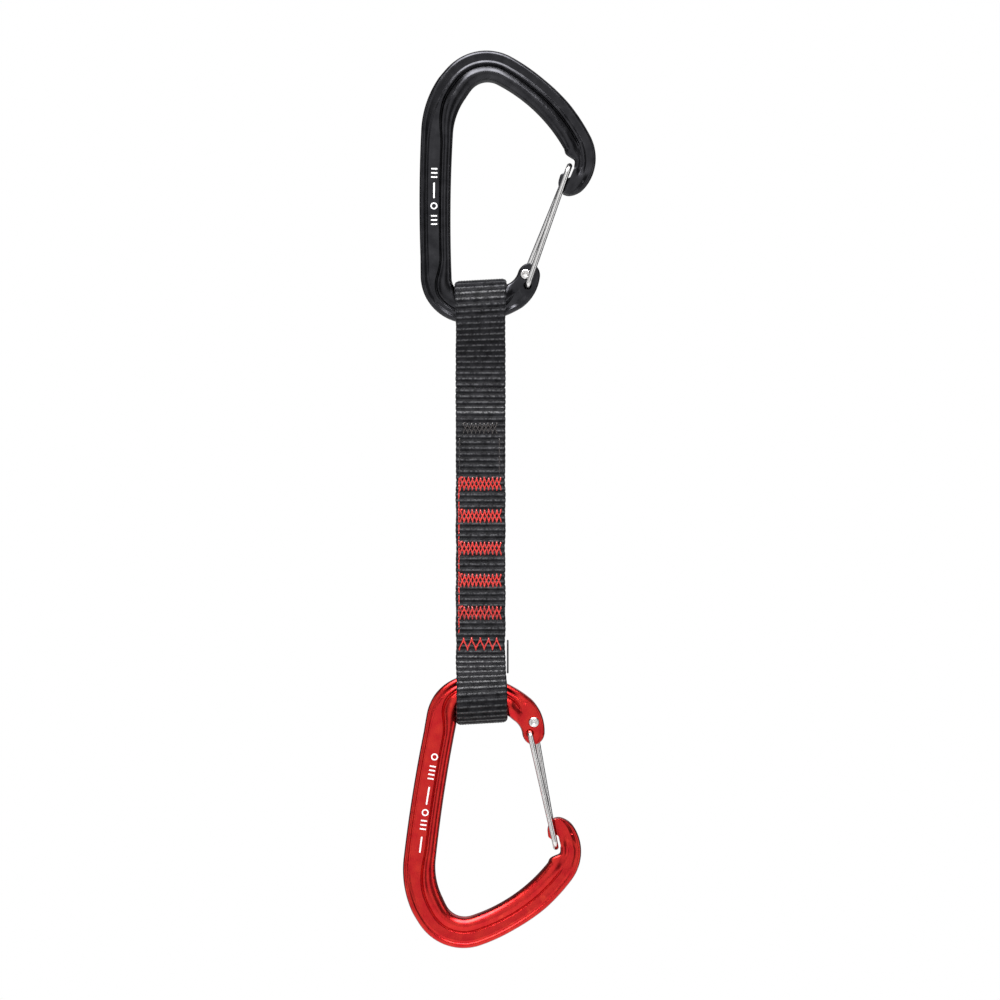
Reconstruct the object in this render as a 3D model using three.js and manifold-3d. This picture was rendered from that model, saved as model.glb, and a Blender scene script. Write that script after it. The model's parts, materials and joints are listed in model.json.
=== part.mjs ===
// A climbing quickdraw: two wire-gate carabiners joined by a sewn webbing sling.
// Millimetres, +Z up, +X right, front towards -Y. The origin is the crown of the top
// carabiner's basket, where it bears on a bolt hanger.
import * as THREE from "three";
import { mergeVertices } from "three/addons/utils/BufferGeometryUtils.js";
import Module from "manifold-3d";

const wasm = await Module();
wasm.setup();

// Placement of the two carabiners.
const BOTTOM_CROWN = { x: -9.5, z: -302.2 }; // crown of the bottom basket, where the rope runs
const BOTTOM_TILT = 9.33; // degrees the bottom carabiner leans in the sling

// Carabiner frame: the middle line of the bar stock as arcs, clockwise from the gate eye.
// Each arc has its length, its turn in degrees and the half width of the stock at its start.
const FRAME_START = { x: 14.5, z: -70.3, heading: 257 };
const FRAME_ARCS = [
  { name: "eye neck", length: 9, turn: -45, halfWidth: 4.1 },
  { name: "bar", length: 16, turn: -27, halfWidth: 5.0 },
  { name: "lower bend", length: 20, turn: -92.5, halfWidth: 4.8 },
  { name: "spine", length: 52.5, turn: -5.5, halfWidth: 5.7 },
  { name: "upper bend", length: 17, turn: -31.5, halfWidth: 6.0 },
  { name: "crown entry", length: 4.5, turn: -7, halfWidth: 6.3 },
  { name: "crown", length: 18, turn: -76.5, halfWidth: 6.1 },
  { name: "slope", length: 37.5, turn: -33.5, halfWidth: 5.8 },
];
const SLOPE_END_HALF_WIDTH = 5.3;
// The outer edge is drawn in a little from the lower bend round to the crown.
const OUTER_TRIM = 0.42;
const TRIM_PLAN = { start: 40, full: 52, fullEnd: 150, end: 162 };

// Cross-section forms. Positions are fractions of the stock's width from its outer edge;
// heights are distances from the middle plane.
const EYE_FORM = { panelOut: 0.3, panelIn: 0.55, rim: 2.6, ditch: 2.7, panel: 2.7, step: 2.7, rail: 2.7 };
const BAR_FORM = { panelOut: 0.24, panelIn: 0.32, rim: 2.9, ditch: 1.9, panel: 2.7, step: 1.9, rail: 4.1 };
const SPINE_FORM = { panelOut: 0.26, panelIn: 0.6, rim: 2.5, ditch: 2.9, panel: 3.2, step: 2.3, rail: 4.0 };
const CROWN_FORM = { panelOut: 0.27, panelIn: 0.36, rim: 3.1, ditch: 1.9, panel: 2.9, step: 1.8, rail: 4.8 };
const SLOPE_FORM = { panelOut: 0.29, panelIn: 0.41, rim: 3.0, ditch: 1.9, panel: 2.9, step: 2.0, rail: 4.2 };
const SECTION_PLAN = [
  { at: 0, form: EYE_FORM },
  { at: 7, form: EYE_FORM },
  { at: 14, form: BAR_FORM },
  { at: 37, form: BAR_FORM },
  { at: 52, form: SPINE_FORM },
  { at: 92, form: SPINE_FORM },
  { at: 112, form: CROWN_FORM },
  { at: 136, form: CROWN_FORM },
  { at: 152, form: SLOPE_FORM },
  { at: 180, form: SLOPE_FORM },
];
const FRAME_STEP = 4; // spacing of the frame's cross-sections
const EYE_CAP_STEPS = 4;
const EYE_CAP_ANGLE = 82; // degrees round the end that the first ring sits at

// Nose: its outer edge as arcs from the end of the slope, and its inner edge as corners,
// each facing a distance along the outer edge.
const NOSE_OUTER_ARCS = [
  { length: 9.7, turn: -31.5 },
  { length: 11.2, turn: -39.6 },
  { length: 5.7, turn: -42.6 },
  { length: 2.6, turn: -31.8 },
];
const NOSE_INNER_CORNERS = [
  { name: "shoulder", outer: 4.6, x: 27.5, z: -26.0, lip: false },
  { name: "seat top", outer: 8.9, x: 31.2, z: -28.5, lip: false },
  { name: "seat bottom", outer: 12.6, x: 30.8, z: -31.4, lip: false },
  { name: "lip top", outer: 14.4, x: 26.1, z: -33.5, lip: true },
  { name: "lip side", outer: 18.6, x: 25.4, z: -36.2, lip: true },
  { name: "lip low", outer: 23.2, x: 25.6, z: -38.7, lip: true },
  { name: "tip", outer: 28.8, x: 26.9, z: -40.6, lip: true },
];
const NOSE_HALF_HEIGHT = 3.9;
const LIP_HALF_HEIGHT = 1.3;
// The slot between the lip and the nose that the wire's closed end drops into.
const LIP_SLOT = { from: { x: 30.55, z: -30.9 }, to: { x: 29.1, z: -34.35 }, radius: 0.5 };

// Gate wire.
const WIRE_RADIUS = 1;
const GATE_PIVOT = { x: 13.7, z: -71.7 };
const GATE_LEAN = 20.7; // degrees from vertical when closed
const GATE_LENGTH = 44.2; // pivot to the middle of the closed end
const GATE_BEND_RADIUS = 2.9;
const GATE_LEG_SPREAD = 4.05; // half the spacing of the legs beside the eye
const LEG_CLEAR_SHARE = 0.16; // of a leg runs beside the eye before it closes in
const GATE_OPENING = 32; // degrees
const EYE_HOLE_FRONT = { x: 14.1, z: -73.8 };
const EYE_HOLE_BACK = { x: 13.3, z: -69.7 };
const EYE_HOLE_RADIUS = 1.35;
const EYE_SWING_STEPS = 5; // positions of a wire end that its clearance slot is cut from
const CUT_DEPTH = 12; // right through the stock
const CUT_SIDES = 12;
const WIRE_END_DEPTH = 2.4; // how far an end reaches past the middle plane
const WIRE_STEPS = 60;

// Sling: one strip of webbing, doubled in the top part and tripled where it is sewn.
const WEB_WIDTH = 18.1;
const WEB_THICKNESS = 1.9;
const WEB_MIDDLE_X = -2.5;
const PLY_GAP = 0.2;
const PLY_PITCH = WEB_THICKNESS + PLY_GAP;
const CUT_GAP = 0.3; // between two stretches of webbing that meet at a joint
const TOP_LOOP = { axisZ: -80.5, outerRadius: 9.4, shiftX: 0 };
const BOTTOM_LOOP = { axisZ: -222.1, outerRadius: 10.1, shiftX: 1.1 };
const TWIST_Z = -107;
const BEND_Z = -115;
const TRIPLE_START_Z = -121.5; // where the inner ply begins
const PARTING_TOP_Z = -117.6; // the outer plies part over this stretch to make room for it
const PARTING_END_Z = -120.8;
const TAIL_END_Z = -207;
const FORK_Z = -206.5; // where the bottom loop opens
const PATH_STEPS = 7;
const LOOP_STEPS = 16;

// Rubber keeper in the throat of the bottom loop.
const KEEPER_SADDLE_RADIUS = 8.4; // about the loop's axis
const KEEPER_OVERHANG = 0.5; // past the right edge of the webbing
const KEEPER_WALL_SHARES = [0.16, 0.22, 0.28, 0.34, 0.4]; // heights of its walls down the throat

// Stitching.
const THREAD_WIDTH = 0.45;
const THREAD_HEIGHT = 0.35;
const THREAD_LIFT = 0.1; // clear of the webbing's face
const DARK_TACK = { z: -125.4, height: 4.5, left: -8.5, right: 3.1, pitch: 1.45 };
const RED_TACK = { height: 5.4, left: -9.6, right: 4.6, pitch: 1.42 };
const RED_TACK_FIRST_Z = -145.5;
const RED_TACK_SPACING = 11.65;
const RED_TACK_COUNT = 5;
const WIDE_ZIGZAG = { z: -203.4, height: 5.3, left: -9.9, right: 4.6, pitch: 2.9 };
const RED_EDGE_STITCH = { x: -10.3, top: -142.6, bottom: -200 };
const BLACK_EDGE_STITCH = { left: -10.1, right: 4.3, top: -128.6, bottom: -142 };

// Finishes.
const BLACK_ANODISED = { color: 0x2d2d32, roughness: 0.38, metalness: 0.85 };
const RED_ANODISED = { color: 0xc81e23, roughness: 0.33, metalness: 0.85 };
const STAINLESS = { color: 0xc9ccd0, roughness: 0.2, metalness: 1 };
const WEBBING = { color: 0x26262b, roughness: 0.9, metalness: 0 };
const RUBBER = { color: 0x151515, roughness: 0.75, metalness: 0 };
const RED_THREAD = { color: 0xe0322c, roughness: 0.6, metalness: 0 };
const BLACK_THREAD = { color: 0x1b1b20, roughness: 0.6, metalness: 0 };

const radians = THREE.MathUtils.degToRad;

// ---------- General helpers ----------

function namedMesh(name, geometry, finish) {
  const mesh = new THREE.Mesh(geometry, new THREE.MeshStandardMaterial(finish));
  mesh.name = name;
  return mesh;
}

// A point and heading `distance` along a chain of arcs.
function alongArcs(start, arcs, distance) {
  let { x, z } = start;
  let heading = radians(start.heading);
  let left = distance;
  for (const arc of arcs) {
    const run = Math.min(left, arc.length);
    const curvature = radians(arc.turn) / arc.length;
    const next = heading + curvature * run;
    if (curvature === 0) {
      x += Math.cos(heading) * run;
      z += Math.sin(heading) * run;
    } else {
      x += (Math.sin(next) - Math.sin(heading)) / curvature;
      z -= (Math.cos(next) - Math.cos(heading)) / curvature;
    }
    heading = next;
    left -= run;
    if (left <= 0) break;
  }
  return { x, z, heading };
}

// A closed skin over a row of rings with equal point counts, with fan caps at both ends.
function loft(rings) {
  const count = rings[0].length;
  const positions = [];
  const indices = [];
  for (const ring of rings) {
    for (const point of ring) positions.push(point.x, point.y, point.z);
  }
  for (let i = 0; i + 1 < rings.length; i++) {
    for (let j = 0; j < count; j++) {
      const a = i * count + j;
      const b = i * count + ((j + 1) % count);
      indices.push(a, b + count, b, a, a + count, b + count);
    }
  }
  for (const isFirst of [true, false]) {
    const ring = isFirst ? rings[0] : rings[rings.length - 1];
    const base = isFirst ? 0 : (rings.length - 1) * count;
    const centre = new THREE.Vector3();
    for (const point of ring) centre.add(point);
    centre.divideScalar(count);
    const hub = positions.length / 3;
    positions.push(centre.x, centre.y, centre.z);
    for (let j = 0; j < count; j++) {
      const a = base + j;
      const b = base + ((j + 1) % count);
      if (isFirst) indices.push(hub, a, b);
      else indices.push(hub, b, a);
    }
  }
  const geometry = new THREE.BufferGeometry();
  geometry.setAttribute("position", new THREE.Float32BufferAttribute(positions, 3));
  geometry.setIndex(indices);
  return geometry;
}

function toSolid(geometry) {
  const bare = geometry.clone();
  bare.deleteAttribute("normal");
  bare.deleteAttribute("uv");
  const merged = mergeVertices(bare, 1e-4);
  return new wasm.Manifold(
    new wasm.Mesh({
      numProp: 3,
      vertProperties: merged.attributes.position.array,
      triVerts: new Uint32Array(merged.index.array),
    }),
  );
}

function toGeometry(solid) {
  const mesh = solid.getMesh();
  const geometry = new THREE.BufferGeometry();
  geometry.setAttribute("position", new THREE.BufferAttribute(mesh.vertProperties, 3));
  geometry.setIndex(new THREE.BufferAttribute(mesh.triVerts, 1));
  return geometry;
}

// ---------- Carabiner frame ----------

const frameLength = FRAME_ARCS.reduce((sum, arc) => sum + arc.length, 0);

function halfWidthAt(distance) {
  let left = distance;
  for (let i = 0; i < FRAME_ARCS.length; i++) {
    const arc = FRAME_ARCS[i];
    const endWidth = FRAME_ARCS[i + 1]?.halfWidth ?? SLOPE_END_HALF_WIDTH;
    if (left <= arc.length) return THREE.MathUtils.lerp(arc.halfWidth, endWidth, left / arc.length);
    left -= arc.length;
  }
  return SLOPE_END_HALF_WIDTH;
}

function formAt(distance) {
  let i = 0;
  while (i + 2 < SECTION_PLAN.length && distance > SECTION_PLAN[i + 1].at) i++;
  const from = SECTION_PLAN[i];
  const to = SECTION_PLAN[i + 1];
  const share = THREE.MathUtils.smoothstep(distance, from.at, to.at);
  const form = {};
  for (const key of Object.keys(from.form)) {
    form[key] = THREE.MathUtils.lerp(from.form[key], to.form[key], share);
  }
  return form;
}

// The upper half of a frame section: [share of the width from the outer edge, height].
function frameProfile(form) {
  return [
    [0, form.rim * 0.25],
    [0.03, form.rim * 0.75],
    [0.09, form.rim],
    [0.14, form.rim * 0.97],
    [form.panelOut - 0.05, form.ditch],
    [form.panelOut, form.panel],
    [form.panelIn, form.panel],
    [form.panelIn + 0.06, form.step],
    [form.panelIn + 0.12, form.step * 0.7 + form.rail * 0.3],
    [form.panelIn + 0.22, form.rail * 0.97],
    [0.84, form.rail * 0.93],
    [0.95, form.rail * 0.7],
    [1, form.rail * 0.25],
  ];
}

// A ring of points from the upper half profile, laid between the outer and inner edges.
function ringBetween(outer, inner, profile) {
  const place = ([share, height]) =>
    new THREE.Vector3(
      THREE.MathUtils.lerp(outer.x, inner.x, share),
      height,
      THREE.MathUtils.lerp(outer.z, inner.z, share),
    );
  const back = profile.map(place);
  const front = profile.map(([share, height]) => place([share, -height])).reverse();
  return [...back, ...front];
}

function trimAt(distance) {
  const { start, full, fullEnd, end } = TRIM_PLAN;
  const rising = THREE.MathUtils.clamp((distance - start) / (full - start), 0, 1);
  const falling = THREE.MathUtils.clamp((end - distance) / (end - fullEnd), 0, 1);
  return OUTER_TRIM * Math.min(rising, falling);
}

function frameRing(distance, widthScale = 1, setBack = 0) {
  const { x, z, heading } = alongArcs(FRAME_START, FRAME_ARCS, distance);
  const half = halfWidthAt(distance) * widthScale;
  const reach = half - trimAt(distance);
  const middleX = x - Math.cos(heading) * setBack;
  const middleZ = z - Math.sin(heading) * setBack;
  const outer = { x: middleX - Math.sin(heading) * reach, z: middleZ + Math.cos(heading) * reach };
  const inner = { x: middleX + Math.sin(heading) * half, z: middleZ - Math.cos(heading) * half };
  return ringBetween(outer, inner, frameProfile(formAt(distance)));
}

// The round end of the eye: rings that narrow along a half circle.
function eyeCapRings() {
  const radius = halfWidthAt(0);
  const rings = [];
  for (let i = 0; i < EYE_CAP_STEPS; i++) {
    const angle = radians(EYE_CAP_ANGLE * (1 - i / EYE_CAP_STEPS));
    rings.push(frameRing(0, Math.cos(angle), radius * Math.sin(angle)));
  }
  return rings;
}

// Distance of a point to the right of the closed gate's middle line.
function rightOfGate(point) {
  const lean = radians(GATE_LEAN);
  return (point.x - GATE_PIVOT.x) * Math.cos(lean) - (point.z - GATE_PIVOT.z) * Math.sin(lean);
}

// The upper half of a nose section. A lip section drops to the thin lip beside the wire.
function noseProfile(outer, inner, lip) {
  let edge = 0.97;
  if (lip) {
    const flank = WIRE_RADIUS + 0.35;
    const outerDistance = rightOfGate(outer);
    edge = Math.min(0.97, (outerDistance - flank) / (outerDistance - rightOfGate(inner)));
  }
  const dome = [0.25, 0.62, 0.82, 0.9, 0.96, 1, 1, 0.99, 0.96, 0.9];
  const domeShares = [0, 0.04, 0.11, 0.18, 0.28, 0.42, 0.56, 0.72, 0.86, 1];
  const points = dome.map((height, i) => [domeShares[i] * edge, height * NOSE_HALF_HEIGHT]);
  points.push([edge + 0.01, LIP_HALF_HEIGHT]);
  points.push([edge + (1 - edge) * 0.8, LIP_HALF_HEIGHT * 0.95]);
  points.push([1, LIP_HALF_HEIGHT * 0.6]);
  return points;
}

function noseRings() {
  const slopeEnd = alongArcs(FRAME_START, FRAME_ARCS, frameLength);
  const outerStart = {
    x: slopeEnd.x - Math.sin(slopeEnd.heading) * SLOPE_END_HALF_WIDTH,
    z: slopeEnd.z + Math.cos(slopeEnd.heading) * SLOPE_END_HALF_WIDTH,
    heading: THREE.MathUtils.radToDeg(slopeEnd.heading),
  };
  const slopeProfile = frameProfile(formAt(frameLength));
  return NOSE_INNER_CORNERS.map((corner) => {
    const outer = alongArcs(outerStart, NOSE_OUTER_ARCS, corner.outer);
    const profile = noseProfile(outer, corner, corner.lip);
    if (corner.name !== "shoulder") return ringBetween(outer, corner, profile);
    const blended = profile.map(([share, height], i) => [
      (share + slopeProfile[i][0]) / 2,
      (height + slopeProfile[i][1]) / 2,
    ]);
    return ringBetween(outer, corner, blended);
  });
}

// The clearance slots in the eye, swept by each wire end as the gate opens.
function eyeSlots() {
  const cuts = [];
  for (const hole of [EYE_HOLE_FRONT, EYE_HOLE_BACK]) {
    for (let i = 0; i < EYE_SWING_STEPS; i++) {
      const angle = radians((GATE_OPENING * i) / (EYE_SWING_STEPS - 1));
      const dx = hole.x - GATE_PIVOT.x;
      const dz = hole.z - GATE_PIVOT.z;
      const cut = new THREE.CylinderGeometry(EYE_HOLE_RADIUS, EYE_HOLE_RADIUS, CUT_DEPTH, CUT_SIDES);
      cut.translate(
        GATE_PIVOT.x + dx * Math.cos(angle) - dz * Math.sin(angle),
        0,
        GATE_PIVOT.z + dx * Math.sin(angle) + dz * Math.cos(angle),
      );
      cuts.push(toSolid(cut));
    }
  }
  return cuts;
}

// A round-ended slot through the nose, drawn as the outline of its two ends.
function lipSlot() {
  const { from, to, radius } = LIP_SLOT;
  const lean = Math.atan2(to.z - from.z, to.x - from.x);
  const outline = [];
  for (const [end, turn] of [[to, -Math.PI / 2], [from, Math.PI / 2]]) {
    for (let i = 0; i <= CUT_SIDES / 2; i++) {
      const angle = lean + turn + (Math.PI * i) / (CUT_SIDES / 2);
      outline.push(new THREE.Vector2(end.x + radius * Math.cos(angle), end.z + radius * Math.sin(angle)));
    }
  }
  const cut = new THREE.ExtrudeGeometry(new THREE.Shape(outline), { depth: CUT_DEPTH, bevelEnabled: false });
  cut.rotateX(Math.PI / 2);
  cut.translate(0, CUT_DEPTH / 2, 0);
  return toSolid(cut);
}

function carabinerFrame() {
  const rings = eyeCapRings();
  const stations = Math.round(frameLength / FRAME_STEP);
  for (let i = 0; i <= stations; i++) rings.push(frameRing((frameLength * i) / stations));
  rings.push(...noseRings());
  let solid = toSolid(loft(rings));
  for (const cut of [...eyeSlots(), lipSlot()]) solid = solid.subtract(cut);
  return toGeometry(solid);
}

// ---------- Gate wire ----------

// A point beside the gate's middle line: along it from the pivot, and out along Y.
function gatePoint(along, y) {
  const lean = radians(GATE_LEAN);
  return new THREE.Vector3(
    GATE_PIVOT.x + Math.sin(lean) * along,
    y,
    GATE_PIVOT.z + Math.cos(lean) * along,
  );
}

// One end and leg, from inside its hole out to where the closed end's bend starts.
function gateLeg(hole, side) {
  const foot = new THREE.Vector3(hole.x, side * GATE_LEG_SPREAD, hole.z);
  const bendStart = gatePoint(GATE_LENGTH - GATE_BEND_RADIUS, side * GATE_BEND_RADIUS);
  const clear = foot.clone().lerp(bendStart, LEG_CLEAR_SHARE).setY(foot.y);
  const along = (share) => foot.clone().lerp(clear, share);
  return [
    new THREE.Vector3(hole.x, -side * WIRE_END_DEPTH, hole.z),
    new THREE.Vector3(hole.x, 0, hole.z),
    new THREE.Vector3(hole.x, side * (GATE_LEG_SPREAD - 1.5), hole.z),
    along(0.06).setY(side * (GATE_LEG_SPREAD - 0.45)),
    along(0.25),
    clear,
    clear.clone().lerp(bendStart, 0.33),
    clear.clone().lerp(bendStart, 0.67),
    bendStart,
  ];
}

function gateWire() {
  const bend = [];
  for (const angle of [30, 60, 90, 120, 150]) {
    const reach = GATE_LENGTH - GATE_BEND_RADIUS + GATE_BEND_RADIUS * Math.sin(radians(angle));
    bend.push(gatePoint(reach, -GATE_BEND_RADIUS * Math.cos(radians(angle))));
  }
  const path = new THREE.CatmullRomCurve3([
    ...gateLeg(EYE_HOLE_FRONT, -1),
    ...bend,
    ...gateLeg(EYE_HOLE_BACK, 1).reverse(),
  ]);
  const section = new THREE.Shape();
  const sides = 8;
  for (let i = 0; i < sides; i++) {
    const angle = (2 * Math.PI * i) / sides;
    const x = WIRE_RADIUS * Math.cos(angle);
    const y = WIRE_RADIUS * Math.sin(angle);
    if (i === 0) section.moveTo(x, y);
    else section.lineTo(x, y);
  }
  return new THREE.ExtrudeGeometry(section, { steps: WIRE_STEPS, extrudePath: path });
}

function carabiner(prefix, finish) {
  const group = new THREE.Group();
  group.add(namedMesh(prefix + "_carabiner_body", carabinerFrame(), finish));
  group.add(namedMesh(prefix + "_gate_wire", gateWire(), STAINLESS));
  return group;
}

// ---------- Webbing ----------

// Side-view outlines are drawn as (y, z) points and pulled through along X.
function pullAcross(outline, left, right) {
  const shape = new THREE.Shape(outline.map(([y, z]) => new THREE.Vector2(y, z)));
  const geometry = new THREE.ExtrudeGeometry(shape, { depth: right - left, bevelEnabled: false });
  const turn = new THREE.Matrix4().makeBasis(
    new THREE.Vector3(0, 1, 0),
    new THREE.Vector3(0, 0, 1),
    new THREE.Vector3(1, 0, 0),
  );
  geometry.applyMatrix4(turn);
  geometry.translate(left, 0, 0);
  return geometry;
}

// The outline of a strip of even thickness along a middle line.
function stripOutline(line, thickness) {
  const left = [];
  const right = [];
  for (let i = 0; i < line.length; i++) {
    const before = line[Math.max(0, i - 1)];
    const after = line[Math.min(line.length - 1, i + 1)];
    const dy = after[0] - before[0];
    const dz = after[1] - before[1];
    const length = Math.hypot(dy, dz);
    const offset = thickness / 2 / length;
    left.push([line[i][0] - dz * offset, line[i][1] + dy * offset]);
    right.push([line[i][0] + dz * offset, line[i][1] - dy * offset]);
  }
  return [...left, ...right.reverse()];
}

// A smooth S from one point to another, leaving and arriving along Z.
function easeLine(from, to) {
  const line = [];
  for (let i = 0; i <= PATH_STEPS; i++) {
    const share = i / PATH_STEPS;
    const blend = (1 - Math.cos(Math.PI * share)) / 2;
    line.push([
      THREE.MathUtils.lerp(from[0], to[0], blend),
      THREE.MathUtils.lerp(from[1], to[1], share),
    ]);
  }
  return line;
}

// The middle line of a loop round a bar: in from one point, round, and out to another.
function loopLine({ axisZ, outerRadius }, upwards, from, to) {
  const radius = outerRadius - WEB_THICKNESS / 2;
  const side = Math.sign(to[0] - from[0]);
  const round = [];
  for (let i = 1; i < LOOP_STEPS; i++) {
    const angle = (Math.PI * i) / LOOP_STEPS;
    round.push([-side * radius * Math.cos(angle), axisZ + upwards * radius * Math.sin(angle)]);
  }
  return [
    ...easeLine(from, [-side * radius, axisZ]),
    ...round,
    ...easeLine([side * radius, axisZ], to),
  ];
}

// Shifts a loop's end sideways, fading out along the strap.
function settleLoop(geometry, loop, fadeFromZ) {
  const position = geometry.attributes.position;
  for (let i = 0; i < position.count; i++) {
    const share = (position.getZ(i) - fadeFromZ) / (loop.axisZ - fadeFromZ);
    const fade = THREE.MathUtils.smoothstep(share, 0, 1);
    position.setX(i, position.getX(i) + loop.shiftX * fade);
  }
  return geometry;
}

const webLeft = WEB_MIDDLE_X - WEB_WIDTH / 2;
const webRight = WEB_MIDDLE_X + WEB_WIDTH / 2;

function topLoop() {
  const end = TWIST_Z + CUT_GAP / 2;
  const line = loopLine(TOP_LOOP, 1, [-PLY_PITCH / 2, end], [PLY_PITCH / 2, end]);
  const geometry = pullAcross(stripOutline(line, WEB_THICKNESS), webLeft, webRight);
  return settleLoop(geometry, TOP_LOOP, TWIST_Z);
}

// One ply between the twist and the bend, with its half of the rounded lower end.
function neckPly(side) {
  const inner = (side * PLY_GAP) / 2;
  const outer = side * (PLY_PITCH / 2 + WEB_THICKNESS / 2);
  const reach = Math.abs(outer);
  const outline = [
    [inner, TWIST_Z - CUT_GAP / 2],
    [outer, TWIST_Z - CUT_GAP / 2],
  ];
  const steps = 6;
  for (let i = 0; i < steps; i++) {
    const angle = (Math.PI / 2) * (i / steps);
    outline.push([outer * Math.cos(angle), BEND_Z - reach * Math.sin(angle)]);
  }
  outline.push([inner, BEND_Z - Math.sqrt(reach * reach - inner * inner)]);
  if (side > 0) outline.reverse();
  return pullAcross(outline, webLeft, webRight);
}

// The front ply, the bottom loop and the inner ply are one run of webbing.
function mainPly() {
  const bendReach = PLY_PITCH / 2 + WEB_THICKNESS / 2;
  const topZ = BEND_Z - bendReach - CUT_GAP;
  const line = [
    [-PLY_PITCH / 2, topZ],
    [-PLY_PITCH / 2, PARTING_TOP_Z],
    [-PLY_PITCH, PARTING_END_Z],
    ...loopLine(BOTTOM_LOOP, -1, [-PLY_PITCH, FORK_Z], [0, FORK_Z]),
    [0, TRIPLE_START_Z],
  ];
  const geometry = pullAcross(stripOutline(line, WEB_THICKNESS), webLeft, webRight);
  return settleLoop(geometry, BOTTOM_LOOP, FORK_Z);
}

function tailPly() {
  const bendReach = PLY_PITCH / 2 + WEB_THICKNESS / 2;
  const line = [
    [PLY_PITCH / 2, BEND_Z - bendReach - CUT_GAP],
    [PLY_PITCH / 2, PARTING_TOP_Z],
    [PLY_PITCH, PARTING_END_Z],
    [PLY_PITCH, TAIL_END_Z],
  ];
  return pullAcross(stripOutline(line, WEB_THICKNESS), webLeft, webRight);
}

// The keeper fills the throat of the bottom loop and sits on the bar like a saddle.
function keeper() {
  const clearance = WEB_THICKNESS / 2 + CUT_GAP;
  const depth = FORK_Z - BOTTOM_LOOP.axisZ;
  const wallReach = BOTTOM_LOOP.outerRadius - WEB_THICKNESS / 2;
  const front = [];
  const back = [];
  for (const share of KEEPER_WALL_SHARES) {
    const blend = (1 - Math.cos(Math.PI * share)) / 2;
    const z = FORK_Z - depth * share;
    const slant = Math.hypot(1, (wallReach * Math.PI * Math.sin(Math.PI * share)) / 2 / depth);
    front.push([-PLY_PITCH - (wallReach - PLY_PITCH) * blend + clearance * slant, z]);
    back.push([wallReach * blend - clearance * slant, z]);
  }
  const frontFoot = front[front.length - 1][0];
  const backFoot = back[back.length - 1][0];
  const saddle = [];
  const steps = 6;
  for (let i = 0; i <= steps; i++) {
    const y = THREE.MathUtils.lerp(frontFoot, backFoot, i / steps);
    saddle.push([y, BOTTOM_LOOP.axisZ + Math.sqrt(KEEPER_SADDLE_RADIUS ** 2 - y * y)]);
  }
  const outline = [...front, ...saddle, ...back.reverse()];
  const geometry = pullAcross(outline, webLeft, webRight + KEEPER_OVERHANG);
  return settleLoop(geometry, BOTTOM_LOOP, FORK_Z);
}

// ---------- Stitching ----------

const frontFaceY = -(PLY_PITCH + WEB_THICKNESS / 2 + THREAD_LIFT);
const backFaceY = PLY_PITCH + WEB_THICKNESS / 2 + THREAD_LIFT;

// A flat outline in X and Z, given the thread's height outwards from one face of the sling.
function layThread(outline, faceY) {
  const shape = new THREE.Shape(outline.map(([x, z]) => new THREE.Vector2(x, z)));
  const geometry = new THREE.ExtrudeGeometry(shape, { depth: THREAD_HEIGHT, bevelEnabled: false });
  geometry.rotateX(Math.PI / 2);
  geometry.translate(0, faceY < 0 ? faceY : faceY + THREAD_HEIGHT, 0);
  return geometry;
}

// The outline of a thread that runs up and down between two levels.
function zigzagOutline({ z, height, left, right, pitch }) {
  const legs = Math.round(((right - left) / pitch) * 2);
  const stride = (right - left) / legs;
  const half = THREAD_WIDTH / 2;
  const slope = Math.hypot(stride, height) / height;
  const point = (i, shiftX) => [left + stride * i + shiftX, z + ((i % 2 ? 1 : -1) * height) / 2];
  const rightSide = [];
  const leftSide = [];
  const notchRise = (half * slope * height) / stride;
  for (let i = 0; i <= legs; i++) {
    const up = i % 2 ? 1 : -1;
    const [x, level] = point(i, 0);
    const atEnd = i === 0 || i === legs;
    if (up > 0) {
      leftSide.push([x - half, level]);
      leftSide.push([x + half, level]);
      if (atEnd) rightSide.push([x + half, level - 0.05]);
      else rightSide.push([x, level - notchRise]);
    } else {
      rightSide.push([x - half, level]);
      rightSide.push([x + half, level]);
      if (!atEnd) leftSide.push([x, level + notchRise]);
    }
  }
  return [...leftSide, ...rightSide.reverse()];
}

function lineOutline(x, top, bottom) {
  const half = THREAD_WIDTH / 2;
  return [
    [x - half, bottom],
    [x + half, bottom],
    [x + half, top],
    [x - half, top],
  ];
}

// Each seam is two threads: the needle's on the front and the bobbin's on the back.
function addSeam(group, name, outline, finish) {
  group.add(namedMesh(name + "_needle_thread", layThread(outline, frontFaceY), finish));
  group.add(namedMesh(name + "_bobbin_thread", layThread(outline, backFaceY), finish));
}

function stitching() {
  const group = new THREE.Group();
  addSeam(group, "dark_bartack", zigzagOutline(DARK_TACK), BLACK_THREAD);
  for (let i = 0; i < RED_TACK_COUNT; i++) {
    const tack = { ...RED_TACK, z: RED_TACK_FIRST_Z - RED_TACK_SPACING * i };
    addSeam(group, "red_bartack_" + (i + 1), zigzagOutline(tack), RED_THREAD);
  }
  addSeam(group, "red_zigzag", zigzagOutline(WIDE_ZIGZAG), RED_THREAD);
  const red = RED_EDGE_STITCH;
  addSeam(group, "red_edge_stitch", lineOutline(red.x, red.top, red.bottom), RED_THREAD);
  const dark = BLACK_EDGE_STITCH;
  for (const side of ["left", "right"]) {
    const line = lineOutline(dark[side], dark.top, dark.bottom);
    addSeam(group, "black_edge_stitch_" + side, line, BLACK_THREAD);
  }
  return group;
}

// ---------- Assembly ----------

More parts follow.
